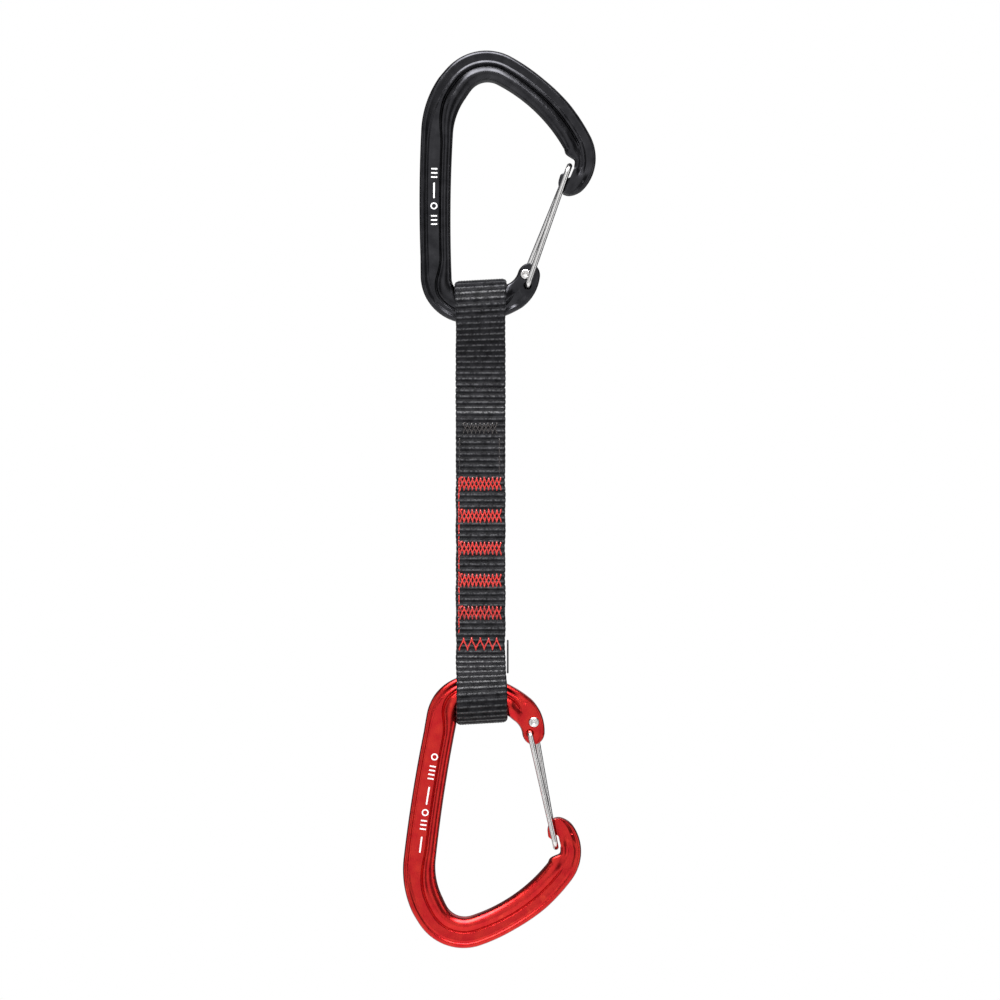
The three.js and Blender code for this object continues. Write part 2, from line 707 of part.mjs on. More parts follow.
function sling() {
  const group = new THREE.Group();
  group.add(namedMesh("webbing_top_loop", topLoop(), WEBBING));
  group.add(namedMesh("webbing_neck_front_ply", neckPly(-1), WEBBING));
  group.add(namedMesh("webbing_neck_back_ply", neckPly(1), WEBBING));
  group.add(namedMesh("webbing_main_ply", mainPly(), WEBBING));
  group.add(namedMesh("webbing_tail_ply", tailPly(), WEBBING));
  group.add(namedMesh("rubber_keeper", keeper(), RUBBER));
  group.add(stitching());
  return group;
}

// The bottom carabiner hangs the other way up, turned over, and leans in its loop.
function bottomPlacement(model) {
  const turnedOver = new THREE.Group();
  turnedOver.rotation.x = Math.PI;
  turnedOver.add(model);
  const leaning = new THREE.Group();
  leaning.position.set(BOTTOM_CROWN.x, 0, BOTTOM_CROWN.z);
  leaning.rotation.y = radians(BOTTOM_TILT);
  leaning.add(turnedOver);
  return leaning;
}

const quickdraw = new THREE.Group();
quickdraw.add(carabiner("top", BLACK_ANODISED));
quickdraw.add(bottomPlacement(carabiner("bottom", RED_ANODISED)));
quickdraw.add(sling());

export default quickdraw;
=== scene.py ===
import json
import math
import random

import bmesh
import bpy
import numpy as np
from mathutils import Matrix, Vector


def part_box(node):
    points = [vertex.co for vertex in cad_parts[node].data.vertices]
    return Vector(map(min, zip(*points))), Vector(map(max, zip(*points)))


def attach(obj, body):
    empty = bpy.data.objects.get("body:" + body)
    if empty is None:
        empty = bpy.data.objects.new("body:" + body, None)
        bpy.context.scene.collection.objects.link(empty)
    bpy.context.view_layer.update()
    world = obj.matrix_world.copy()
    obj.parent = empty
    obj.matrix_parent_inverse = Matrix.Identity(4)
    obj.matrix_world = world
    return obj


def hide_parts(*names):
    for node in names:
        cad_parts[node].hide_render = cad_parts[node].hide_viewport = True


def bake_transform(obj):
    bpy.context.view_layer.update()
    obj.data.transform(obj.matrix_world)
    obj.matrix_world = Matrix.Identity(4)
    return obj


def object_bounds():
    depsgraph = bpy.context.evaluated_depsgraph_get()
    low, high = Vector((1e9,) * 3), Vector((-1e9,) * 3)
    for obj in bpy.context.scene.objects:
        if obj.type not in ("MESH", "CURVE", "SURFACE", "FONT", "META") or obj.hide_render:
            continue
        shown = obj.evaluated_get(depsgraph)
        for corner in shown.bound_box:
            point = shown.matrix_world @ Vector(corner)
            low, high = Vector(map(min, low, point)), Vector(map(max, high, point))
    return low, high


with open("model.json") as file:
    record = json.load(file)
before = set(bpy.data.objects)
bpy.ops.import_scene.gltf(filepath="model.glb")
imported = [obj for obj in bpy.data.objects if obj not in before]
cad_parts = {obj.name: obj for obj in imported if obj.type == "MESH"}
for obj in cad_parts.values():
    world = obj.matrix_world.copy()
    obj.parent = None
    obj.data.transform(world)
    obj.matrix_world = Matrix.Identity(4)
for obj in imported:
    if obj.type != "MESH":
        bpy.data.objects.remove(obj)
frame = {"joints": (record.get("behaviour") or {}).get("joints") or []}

MM = 0.001
cad_low, cad_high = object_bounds()
joint_at = {j["name"]: np.array(j["pos_m"]) / MM for j in frame["joints"]}
dice = random.Random(11)

# ---------- Camera ----------

VIEW_WIDTH = 0.362
VIEW_OFFSET = Vector((0.0002, 0, -0.0003))  # from the middle of the object's box
CAMERA_DISTANCE = 1.5
SENSOR = 36.0

camera_data = bpy.data.cameras.new("camera")
camera_data.sensor_width = SENSOR
camera_data.lens = SENSOR * CAMERA_DISTANCE / VIEW_WIDTH
camera = bpy.data.objects.new("camera", camera_data)
bpy.context.scene.collection.objects.link(camera)
object_middle = (cad_low + cad_high) / 2
camera.location = object_middle + VIEW_OFFSET + Vector((0, -CAMERA_DISTANCE, 0))
camera.rotation_euler = (math.radians(90), 0, 0)
bpy.context.scene.camera = camera

# ---------- Mesh helpers ----------


def smoothstep(low, high, value):
    share = np.clip((value - low) / (high - low), 0, 1)
    return share * share * (3 - 2 * share)


def mesh_piece(name, points, faces, material, sharp_angle=None):
    """A smooth-shaded object from points in millimetres, with its faces turned outwards."""
    mesh = bpy.data.meshes.new(name)
    mesh.from_pydata((np.asarray(points) * MM).tolist(), [], faces)
    build = bmesh.new()
    build.from_mesh(mesh)
    bmesh.ops.recalc_face_normals(build, faces=build.faces)
    build.to_mesh(mesh)
    build.free()
    mesh.shade_smooth()
    if sharp_angle:
        mesh.set_sharp_from_angle(angle=math.radians(sharp_angle))
    piece = bpy.data.objects.new(name, mesh)
    bpy.context.scene.collection.objects.link(piece)
    piece.data.materials.append(material)
    return piece


def loft_faces(ring_count, points_per_ring, first=0):
    """Quads between rings of equal point counts, and a cap at each end."""
    faces = []
    for i in range(ring_count - 1):
        for j in range(points_per_ring):
            a = first + i * points_per_ring + j
            b = first + i * points_per_ring + (j + 1) % points_per_ring
            faces.append((a, b, b + points_per_ring, a + points_per_ring))
    last = first + (ring_count - 1) * points_per_ring
    faces.append(tuple(range(first + points_per_ring - 1, first - 1, -1)))
    faces.append(tuple(range(last, last + points_per_ring)))
    return faces


def rounded_path(corners, radii, steps):
    """A polyline with each inner corner replaced by a small curve of steps + 1 points."""
    corners = np.asarray(corners, float)
    path = [corners[0]]
    for i in range(1, len(corners) - 1):
        here = corners[i]
        back, ahead = corners[i - 1] - here, corners[i + 1] - here
        reach = min(radii[i - 1], 0.46 * np.linalg.norm(back), 0.46 * np.linalg.norm(ahead))
        start = here + back / max(np.linalg.norm(back), 1e-9) * reach
        end = here + ahead / max(np.linalg.norm(ahead), 1e-9) * reach
        for k in range(steps + 1):
            t = k / steps
            path.append((1 - t) ** 2 * start + 2 * t * (1 - t) * here + t * t * end)
    path.append(corners[-1])
    return np.array(path)


def resample(path, spacing):
    """Points evenly spaced along a polyline, its ends kept."""
    path = np.asarray(path, float)
    lengths = np.linalg.norm(np.diff(path, axis=0), axis=1)
    distance = np.concatenate([[0], np.cumsum(lengths)])
    count = max(2, int(round(distance[-1] / spacing)) + 1)
    wanted = np.linspace(0, distance[-1], count)
    return np.column_stack([np.interp(wanted, distance, path[:, k]) for k in range(path.shape[1])])


def sweep_rings(path, radii, sides, lobes=0.0, twist_pitch=1.0):
    """Rings round a path, with frames carried along it. Lobes make a two-ply twisted thread."""
    path = np.asarray(path, float)
    tangents = np.gradient(path, axis=0)
    tangents /= np.linalg.norm(tangents, axis=1)[:, None]
    seed = np.array([1.0, 0, 0]) if abs(tangents[0][0]) < 0.9 else np.array([0, 1.0, 0])
    normal = np.cross(tangents[0], seed)
    angles = 2 * math.pi * np.arange(sides) / sides
    rings = []
    travelled = 0.0
    for i, (point, tangent) in enumerate(zip(path, tangents)):
        normal = normal - tangent * np.dot(normal, tangent)
        normal /= np.linalg.norm(normal)
        side = np.cross(tangent, normal)
        if i:
            travelled += np.linalg.norm(path[i] - path[i - 1])
        phase = 2 * math.pi * travelled / twist_pitch
        reach = radii[i] * (1 + lobes * np.cos(2 * angles - phase))
        towards_normal = np.outer(reach * np.cos(angles), normal)
        rings.append(point + towards_normal + np.outer(reach * np.sin(angles), side))
    return np.concatenate(rings)


# ---------- Material helpers ----------


class Shading:
    """A material's node tree, with short calls for the nodes that the finishes share."""

    def __init__(self, name, **surface):
        self.material = bpy.data.materials.new(name)
        self.material.use_nodes = True
        self.tree = self.material.node_tree
        self.surface = self.tree.nodes["Principled BSDF"]
        for socket, value in surface.items():
            self.surface.inputs[socket.replace("_", " ")].default_value = value

    def node(self, kind, **settings):
        made = self.tree.nodes.new(kind)
        for key, value in settings.items():
            setattr(made, key, value)
        return made

    def feed(self, socket, source):
        if hasattr(source, "is_linked"):
            self.tree.links.new(source, socket)
        else:
            socket.default_value = source

    def maths(self, operation, first, second=0.0):
        made = self.node("ShaderNodeMath", operation=operation)
        self.feed(made.inputs[0], first)
        self.feed(made.inputs[1], second)
        return made.outputs[0]

    def noise(self, scale, detail=2.0, stretch=None):
        made = self.node("ShaderNodeTexNoise")
        made.inputs["Scale"].default_value = scale
        made.inputs["Detail"].default_value = detail
        vector = self.node("ShaderNodeTexCoord").outputs["Object"]
        if stretch:
            mapping = self.node("ShaderNodeMapping")
            mapping.inputs["Scale"].default_value = stretch
            self.feed(mapping.inputs["Vector"], vector)
            vector = mapping.outputs["Vector"]
        self.feed(made.inputs["Vector"], vector)
        return made.outputs["Fac"]

    def range(self, value, low, high, out_low, out_high):
        made = self.node("ShaderNodeMapRange")
        for socket, given in zip(made.inputs, (value, low, high, out_low, out_high)):
            self.feed(socket, given)
        return made.outputs[0]

    def mix(self, share, dark, light):
        made = self.node("ShaderNodeMix", data_type="RGBA")
        self.feed(made.inputs["Factor"], share)
        self.feed(made.inputs[6], dark)
        self.feed(made.inputs[7], light)
        return made.outputs[2]

    def bump(self, height, strength, distance, after=None):
        made = self.node("ShaderNodeBump")
        made.inputs["Strength"].default_value = strength
        made.inputs["Distance"].default_value = distance
        self.feed(made.inputs["Height"], height)
        if after:
            self.feed(made.inputs["Normal"], after)
        return made.outputs["Normal"]

    def set(self, socket, source):
        self.feed(self.surface.inputs[socket], source)


def anodised(name, deep, bright, roughness, coat):
    """Satin anodised aluminium: blasted grain, faint clouding, and a painted highlight that lightens the
    crests.
    """
    shade = Shading(name, Metallic=1.0, Coat_Weight=coat, Coat_Roughness=0.22, Coat_IOR=1.7)
    clouds = shade.noise(260.0, 3.0)
    # Painted highlight: the crests, found by pointiness, are painted toward the lighter colour.
    crest = shade.node("ShaderNodeNewGeometry").outputs["Pointiness"]
    crest_highlight = shade.maths("MULTIPLY", shade.range(crest, 0.505, 0.56, 0.0, 0.55), clouds)
    tone = shade.maths("ADD", shade.range(clouds, 0.3, 0.7, 0.0, 0.3), crest_highlight)
    shade.set("Base Color", shade.mix(tone, deep, bright))
    scuffs = shade.noise(900.0, 4.0, (1, 1, 0.15))
    shade.set("Roughness", shade.range(scuffs, 0.3, 0.75, roughness - 0.05, roughness + 0.07))
    grain = shade.noise(5200.0, 2.0)
    shade.set("Normal", shade.bump(grain, 0.18, 0.00006))
    return shade.material


def stainless(name):
    """Polished stainless wire, faintly clouded."""
    shade = Shading(name, Metallic=1.0)
    clouds = shade.noise(160.0, 1.0)
    grey, silver = (0.76, 0.75, 0.74, 1), (0.88, 0.87, 0.86, 1)
    shade.set("Base Color", shade.mix(shade.range(clouds, 0.3, 0.7, 0, 1), grey, silver))
    shade.set("Roughness", shade.range(clouds, 0.3, 0.7, 0.17, 0.21))
    return shade.material


RIB_PITCH = 2.1
YARN_PITCH = 1.05


def woven(name):
    """Ribbed nylon webbing. The weave attribute gives each point's place along and across."""
    shade = Shading(name, Sheen_Weight=0.02, Sheen_Roughness=0.35, IOR=1.5)
    place = shade.node("ShaderNodeAttribute", attribute_name="weave").outputs["Vector"]
    split = shade.node("ShaderNodeSeparateXYZ")
    shade.feed(split.inputs[0], place)
    along, across = split.outputs["X"], split.outputs["Y"]
    rib_turn = shade.maths("MULTIPLY", along, 2 * math.pi / RIB_PITCH)
    crest = shade.range(shade.maths("COSINE", rib_turn), -0.35, -0.95, 0.0, 1.0)
    yarn = shade.maths("SINE", shade.maths("MULTIPLY", across, 2 * math.pi / (YARN_PITCH / 3)))
    lean = shade.maths("ADD", shade.maths("MULTIPLY", across, 14.0), shade.maths("MULTIPLY", along, 21.0))
    fibre = shade.maths("SINE", lean)
    fuzz = shade.noise(3800.0, 3.0)
    clouds = shade.noise(420.0, 2.0)
    weave = shade.maths("ADD", shade.maths("MULTIPLY", yarn, 0.5), shade.maths("MULTIPLY", fibre, 0.35))
    height = shade.maths("ADD", weave, shade.maths("MULTIPLY", fuzz, 1.1))
    broken = shade.range(shade.noise(1100.0, 2.0), 0.38, 0.62, 0.15, 1.0)
    # Painted highlight: the rib crests, broken up by noise, are painted lighter and raise the specular
    # level. Random clouding adds to the tone.
    lit = shade.maths("MULTIPLY", crest, broken)
    tone = shade.maths("ADD", shade.maths("MULTIPLY", lit, 0.75), shade.range(clouds, 0.3, 0.7, 0.0, 0.25))
    shade.set("Base Color", shade.mix(tone, (0.003, 0.003, 0.0038, 1), (0.05, 0.05, 0.056, 1)))
    shade.set("Specular IOR Level", shade.range(lit, 0.0, 1.0, 0.08, 0.75))
    shade.set("Roughness", shade.range(fuzz, 0.3, 0.7, 0.27, 0.4))
    shade.set("Normal", shade.bump(height, 0.55, 0.00007))
    return shade.material


def sewing_thread(name, deep, bright):
    """Filament thread: a painted highlight lightens the crowns of its plies."""
    shade = Shading(name, Sheen_Weight=0.12, Sheen_Roughness=0.3, IOR=1.75)
    fibres = shade.noise(6500.0, 3.0)
    patches = shade.noise(700.0, 2.0)
    # Painted highlight: the crowns of the plies, found by pointiness, are painted toward the lighter
    # colour, with random patches added.
    crown = shade.range(shade.node("ShaderNodeNewGeometry").outputs["Pointiness"], 0.48, 0.56, 0, 0.6)
    tone = shade.maths("ADD", crown, shade.range(patches, 0.3, 0.7, 0.0, 0.5))
    shade.set("Base Color", shade.mix(tone, deep, bright))
    shade.set("Roughness", shade.range(fibres, 0.3, 0.7, 0.16, 0.3))
    shade.set("Normal", shade.bump(fibres, 0.4, 0.00003))
    return shade.material


def moulded_rubber(name):
    shade = Shading(name, IOR=1.5)
    grain = shade.noise(2600.0, 3.0)
    shade.set("Base Color", shade.mix(grain, (0.006, 0.006, 0.007, 1), (0.02, 0.02, 0.021, 1)))
    shade.set("Roughness", shade.range(grain, 0.3, 0.7, 0.42, 0.6))
    shade.set("Normal", shade.bump(grain, 0.3, 0.00004))
    return shade.material


def marking_ink(name):
    shade = Shading(name, IOR=1.45)
    grain = shade.noise(4200.0, 3.0)
    shade.set("Base Color", shade.mix(grain, (0.62, 0.62, 0.62, 1), (0.9, 0.9, 0.9, 1)))
    shade.set("Roughness", shade.range(grain, 0.3, 0.7, 0.45, 0.65))
    shade.set("Normal", shade.bump(grain, 0.2, 0.00002))
    return shade.material


# The second colour of each finish is the lighter tone that random clouding and the crests' painted
# highlight mix towards.
black_finish = anodised("black_anodised", (0.026, 0.026, 0.029, 1), (0.085, 0.085, 0.092, 1), 0.25, 0.0)
red_finish = anodised("red_anodised", (0.56, 0.010, 0.016, 1), (0.9, 0.07, 0.035, 1), 0.25, 0.12)
wire_finish = stainless("stainless_wire")
web_finish = woven("black_webbing")
red_thread = sewing_thread("red_thread", (0.22, 0.0035, 0.003, 1), (0.56, 0.024, 0.018, 1))
black_thread = sewing_thread("black_thread", (0.003, 0.0025, 0.0028, 1), (0.018, 0.013, 0.013, 1))
rubber_finish = moulded_rubber("black_rubber")
ink_finish = marking_ink("white_marking")

# ---------- Carabiner frame ----------

# The middle line of the stock as arcs from the gate eye: length, turn in degrees clockwise
# from above, and the half width of the stock at the arc's start.
FRAME_START = (14.5, -70.3, 257.0)
FRAME_ARCS = [
    (9.0, -45.0, 4.1),  # eye neck
    (16.0, -27.0, 5.0),  # bar
    (20.0, -92.5, 4.8),  # lower bend
    (52.5, -5.5, 5.7),  # spine
    (17.0, -31.5, 6.0),  # upper bend
    (4.5, -7.0, 6.3),  # crown entry
    (18.0, -76.5, 6.1),  # crown
    (37.5, -33.5, 5.8),  # slope
]
SLOPE_END_HALF_WIDTH = 5.3
FRAME_LENGTH = sum(arc[0] for arc in FRAME_ARCS)
STATION_SPACING = 0.6
CAP_RINGS = 22
EYE_REACH = 1.15  # the eye's end is a little longer than round
CAP_EDGE = 1.1  # width of the eye's rounded edge

# Section forms for the face with the framed panel and for the plain face. Shares run from
# the outer edge of the stock; heights are from its middle plane.
FORM_KEYS = ("panel_out", "panel_in", "rim", "ditch", "panel", "step", "rail")
EYE = (0.30, 0.55, 2.6, 2.66, 2.7, 2.7, 2.7)
BAR = (0.30, 0.34, 2.9, 2.3, 2.7, 2.38, 4.0)
FRAMED = {
    "spine": (0.28, 0.63, 2.9, 2.45, 3.15, 2.5, 3.9),
    "crown": (0.385, 0.425, 3.1, 2.6, 2.95, 2.1, 4.6),
    "slope": (0.39, 0.44, 3.0, 2.5, 2.85, 2.1, 4.2),
    "nose": (0.40, 0.46, 3.3, 3.05, 3.3, 3.1, 3.8),
}
PLAIN = {
    "spine": (0.2, 0.63, 3.0, 2.6, 3.15, 2.6, 3.9),
    "crown": (0.245, 0.48, 3.0, 2.7, 3.0, 2.7, 4.6),
    "slope": (0.25, 0.45, 3.0, 2.65, 2.95, 2.6, 4.2),
    "nose": (0.26, 0.46, 3.3, 3.1, 3.35, 3.2, 3.8),
}
BLUNT_NOSE = (0.32, 0.46, 3.45, 3.85, 3.9, 3.9, 3.9)
CORNER_RADII = (0.5, 0.3, 0.25, 0.35, 0.25, 0.15, 0.15, 0.2, 0.3, 0.6, 0.9, 0.9, 0.8, 0.6)
CORNER_STEPS = 3


def walk(start, arcs, distance):
    """Place and heading in radians at a distance along a chain of arcs."""
    x, z, heading = start[0], start[1], math.radians(start[2])
    left = distance
    for arc in arcs:
        run = min(left, arc[0])
        curvature = math.radians(arc[1]) / arc[0]
        turned = heading + curvature * run
        if curvature:
            x += (math.sin(turned) - math.sin(heading)) / curvature
            z -= (math.cos(turned) - math.cos(heading)) / curvature
        else:
            x += math.cos(heading) * run
            z += math.sin(heading) * run
        heading = turned
        left -= run
        if left <= 0:
            break
    return x, z, heading


def half_width_at(distance):
    ends = np.concatenate([[0], np.cumsum([arc[0] for arc in FRAME_ARCS])])
    widths = [arc[2] for arc in FRAME_ARCS] + [SLOPE_END_HALF_WIDTH]
    return float(np.interp(distance, ends, widths))


def form_at(distance, face):
    """The section's form at a distance along the frame, for one face."""
    plan = [
        (0, EYE), (7, EYE), (14, BAR), (37, BAR), (52, face["spine"]), (92, face["spine"]),
        (112, face["crown"]), (136, face["crown"]), (152, face["slope"]), (170, face["slope"]),
        (180, face["nose"]),
    ]
    i = 0
    while i + 2 < len(plan) and distance > plan[i + 1][0]:
        i += 1
    (low, before), (high, after) = plan[i], plan[i + 1]
    share = float(smoothstep(low, high, distance))
    form = {key: b + (a - b) * share for key, b, a in zip(FORM_KEYS, before, after)}
    if distance < 14:  # the two grooves end in short pits beside the eye
        pit = float(smoothstep(8.2, 10.6, distance))
        for key, eye, bar in zip(FORM_KEYS, EYE, BAR):
            if key in ("ditch", "step"):
                form[key] = eye + (bar - eye) * pit
    return form


def section_corners(form, width):
    """The half section as corners: across from the outer edge, and height."""
    f = form
    rest = 1 - f["panel_in"]
    lift = f["rail"] - f["step"]
    corners = [
        (0, 0),
        (0, 0.45 * f["rim"]),
        (0.03, f["rim"] - 0.4),
        (0.1, f["rim"]),
        (0.14, f["rim"] - 0.04),
        (f["panel_out"] - 0.062, f["ditch"]),
        (f["panel_out"], f["panel"]),
        (f["panel_in"], f["panel"] - 0.02),
        (f["panel_in"] + 0.08 * rest, f["step"]),
        (f["panel_in"] + 0.165 * rest, f["rail"] - 0.4 * lift),
        (f["panel_in"] + 0.34 * rest, f["rail"] - 0.12 * lift),
        (f["panel_in"] + 0.48 * rest, f["rail"]),
        (f["panel_in"] + 0.65 * rest, f["rail"] - 0.1 * lift),
        (f["panel_in"] + 0.90 * rest, 0.97 * f["rail"] - 0.45 * lift),
        (1, 0.28 * f["rail"]),
        (1, 0),
    ]
    return np.array(corners) * (width, 1)


def closed_ring(outer, inner, framed_half, plain_half):
    """A ring of points: the plain face from outer to inner edge, then the framed face back."""
    outer, inner = np.array(outer), np.array(inner)
    width = np.linalg.norm(inner - outer)
    direction = (inner - outer) / max(width, 1e-9)

    def lay(half, side):
        flat = outer + half[:, :1] * direction
        return np.column_stack([flat[:, 0], side * half[:, 1], flat[:, 1]])

    return np.concatenate([lay(plain_half, 1), lay(framed_half, -1)[-2:0:-1]])


OUTER_TRIM = 0.42  # drawn in along the outer edge from the lower bend to the crown
TRIM_PLAN = ((40, 0), (52, 1), (150, 1), (162, 0))


def edges_at(distance, half, set_back=0.0):
    x, z, heading = walk(FRAME_START, FRAME_ARCS, distance)
    x -= math.cos(heading) * set_back
    z -= math.sin(heading) * set_back
    across = np.array([-math.sin(heading), math.cos(heading)]) * half
    trim = OUTER_TRIM * float(np.interp(distance, *zip(*TRIM_PLAN)))
    return np.array([x, z]) + across * (1 - trim / half), np.array([x, z]) - across


def frame_ring(distance):
    half = half_width_at(distance)
    halves = []
    for face in (FRAMED, PLAIN):
        outer, inner = edges_at(distance, half)
        corners = section_corners(form_at(distance, face), np.linalg.norm(outer - inner))
        halves.append(rounded_path(corners, CORNER_RADII, CORNER_STEPS))
    return closed_ring(outer, inner, *halves)


def eye_cap_rings():
    """The round end of the eye, with its edge rounded all the way round."""
    full = half_width_at(0)
    corners = section_corners(form_at(0, FRAMED), 2 * full)
    profile = rounded_path(corners, CORNER_RADII, CORNER_STEPS)
    rings = []
    for i in range(CAP_RINGS):
        angle = math.radians(88 * (1 - i / CAP_RINGS))
        half, set_back = full * math.cos(angle), EYE_REACH * full * math.sin(angle)
        ring = profile.copy()
        ring[:, 0] *= math.cos(angle)
        radial = full - np.hypot(ring[:, 0] - half, set_back / EYE_REACH)
        rounding = np.sqrt(np.clip(1 - (1 - radial / CAP_EDGE) ** 2, 0, 1))
        rounding[radial > CAP_EDGE] = 1
        own = np.clip(profile[:, 1] / profile[:, 1].max(), 0, 1)
        side_wall = np.minimum(ring[:, 0], 2 * half - ring[:, 0]) < 0.3
        ceiling = np.where(side_wall, own, 1)
        allowed = np.minimum(rounding + 0.3 * own, ceiling)
        ring[:, 1] = np.minimum(profile[:, 1], profile[:, 1].max() * allowed)
        rings.append(closed_ring(*edges_at(0, half, set_back), ring, ring))
    return rings


# The nose: its outer edge as arcs from the end of the slope, and its inner edge as corners,
# each with the distance along the outer edge that it faces.
NOSE_OUTER_ARCS = [(9.7, -31.5), (11.2, -39.6), (5.7, -42.6), (2.6, -31.8)]
NOSE_INNER_CORNERS = [
    (4.6, 27.8, -26.3),  # shoulder
    (8.9, 31.3, -28.4),  # seat top
    (12.6, 30.8, -31.4),  # seat bottom
    (14.4, 26.0, -33.5),  # hook top
    (18.6, 25.2, -36.2),  # hook side
    (23.2, 25.4, -38.7),  # hook low
    (29.0, 26.9, -40.6),  # tip
]
NOSE_CORNER_RADII = (2.2, 1.4, 0.9, 0.7, 1.6, 1.4)
NOSE_SPACING = 0.45
NOSE_GROOVE_END = (11.0, 17.5)  # where the grooves run out, along the outer edge
NOSE_SECTION_RADII = (0.5, 0.3, 0.25, 0.35, 0.25, 0.15, 0.15, 0.2, 0.3, 0.8, 0.6, 0.25, 0.12, 0.3)
FEATURE_KNEE = 4.8  # features this near the outer edge keep their distance from it
HOOK_START = 12.6  # along the outer edge, past the seat that holds the closed gate's end
HOOK_HALF_HEIGHT = 1.3
FLANK_GAP = 0.35  # between the wire and the thick part of the nose

WIRE_RADIUS = 1.0
GATE_PIVOT = joint_at["top_gate_hinge"][[0, 2]]
GATE_LEAN = math.radians(20.7)
GATE_LENGTH = 44.2
GATE_BEND_RADIUS = 2.9
GATE_LEG_SPREAD = 4.05
EYE_HOLE_FRONT = np.array([14.1, -73.8])
EYE_HOLE_BACK = np.array([13.3, -69.7])


def right_of_gate(point):
    """Distance of a point to the right of the closed gate's middle line."""
    dx, dz = np.array(point) - GATE_PIVOT
    return dx * math.cos(GATE_LEAN) - dz * math.sin(GATE_LEAN)


def keep_outer_features(corners, width):
    """Refits corners drawn for the slope's width, with those near the outer edge left in place."""
    drawn = 2 * SLOPE_END_HALF_WIDTH
    knee = min(FEATURE_KNEE, 0.62 * width)
    fitted = corners.copy()
    fitted[:, 0] = np.interp(corners[:, 0], (0, FEATURE_KNEE, drawn), (0, knee, width))
    return fitted


def nose_corners(form, width, edge):
    """A nose half section: the thick part to the share edge, then the thin hook."""
    f = form
    thick = edge * width
    drawn = 2 * SLOPE_END_HALF_WIDTH
    knee = min(FEATURE_KNEE, 0.62 * thick)

    def across(share):
        return float(np.interp(share * drawn, (0, FEATURE_KNEE, drawn), (0, knee, thick)))

    hook = min(HOOK_HALF_HEIGHT, 0.95 * f["rail"])
    corners = [
        (0, 0),
        (0, 0.45 * f["rim"]),
        (across(0.03), f["rim"] - 0.4),
        (across(0.1), f["rim"]),
        (across(0.14), f["rim"] - 0.04),
        (across(f["panel_out"] - 0.062), f["ditch"]),
        (across(f["panel_out"]), f["panel"]),
        (across(f["panel_in"]), f["panel"] - 0.02),
        (across(f["panel_in"] + 0.05), f["step"]),
        (across(f["panel_in"] + 0.14), 0.5 * (f["step"] + f["rail"])),
        (across(0.74), f["rail"]),
        (across(0.88), 0.99 * f["rail"]),
        (thick, 0.9 * f["rail"]),
        (thick + 0.004 * width, hook),
        (width, hook * 0.75),
        (width, 0),
    ]
    return np.array(corners)


def nose_rings():
    heading = walk(FRAME_START, FRAME_ARCS, FRAME_LENGTH)[2]
    outer_end, inner_end = edges_at(FRAME_LENGTH, SLOPE_END_HALF_WIDTH)
    outer_start = (*outer_end, math.degrees(heading))
    corners = [(0, *inner_end), *NOSE_INNER_CORNERS]
    inner_path = resample(rounded_path(corners, NOSE_CORNER_RADII, 6), NOSE_SPACING)
    rings = []
    for outer_distance, inner_x, inner_z in inner_path[1:]:
        x, z = walk(outer_start, NOSE_OUTER_ARCS, outer_distance)[:2]
        width = math.hypot(inner_x - x, inner_z - z)
        outer_side, inner_side = right_of_gate((x, z)), right_of_gate((inner_x, inner_z))
        flank = WIRE_RADIUS + FLANK_GAP
        edge = 0.97
        if outer_distance > HOOK_START:
            edge = min(edge, (outer_side - flank) / max(outer_side - inner_side, 1e-6))
        joined = float(smoothstep(0, 5, outer_distance))
        ended = float(smoothstep(*NOSE_GROOVE_END, outer_distance))
        halves = []
        for face in (FRAMED, PLAIN):
            form = form_at(FRAME_LENGTH + outer_distance, face)
            form = {k: form[k] + (b - form[k]) * ended for k, b in zip(FORM_KEYS, BLUNT_NOSE)}
            plain = keep_outer_features(section_corners(form, 2 * SLOPE_END_HALF_WIDTH), width)
            blunt = nose_corners(form, width, edge)
            narrowing = min(1.0, width / 3.0)
            mixed = (plain + (blunt - plain) * joined) * (1, 0.45 + 0.55 * narrowing)
            radii = [a + (b - a) * joined for a, b in zip(CORNER_RADII, NOSE_SECTION_RADII)]
            halves.append(rounded_path(mixed, radii, CORNER_STEPS))
        rings.append(closed_ring((x, z), (inner_x, inner_z), *halves))
    return rings


def revolved_cutter(centre, profile, sides=40):
    """A solid of revolution about a line along Y, from (y, radius) pairs."""
    angles = 2 * math.pi * np.arange(sides) / sides
    rings = []
    for y, radius in profile:
        x = centre[0] + radius * np.cos(angles)
        z = centre[1] + radius * np.sin(angles)
        rings.append(np.column_stack([x, np.full(sides, y), z]))
    return np.concatenate(rings), loft_faces(len(profile), sides)


def slot_cutter(start, end, radius, half_depth):
    """A round-ended slot through the stock along Y."""
    start, end = np.array(start), np.array(end)
    direction = (end - start) / np.linalg.norm(end - start)
    normal = np.array([-direction[1], direction[0]])
    outline = []
    for base, turn in ((end, 0), (start, math.pi)):
        for k in range(13):
            angle = turn + math.pi / 2 - math.pi * k / 12
            outline.append(base + radius * (math.cos(angle) * direction + math.sin(angle) * normal))
    outline = np.array(outline)
    rings = [np.column_stack([outline[:, 0], np.full(len(outline), y), outline[:, 1]])
             for y in (-half_depth, half_depth)]
    return np.concatenate(rings), loft_faces(2, len(outline))


# Each eye hole: bored for the wire, eased where the leg enters, and sunk for the head.
BORE = 1.2
HEAD_SINK = [(-9, 2.15), (-2.25, 2.15), (-2.1, BORE), (2.3, BORE), (2.75, 1.6), (9, 1.6)]
# The slot between the hook and the nose that the wire's closed end drops into.
HOOK_SLOT = ((30.55, -30.9), (29.1, -34.35))
HOOK_SLOT_RADIUS = 0.5
# A small sunk pit on each face of the nose.
NOSE_PIT = (34.2, -36.4)
NOSE_PIT_PROFILE = [(-9, 0.75), (-4.0, 0.7), (-3.55, 0.3), (-3.5, 0.02)]


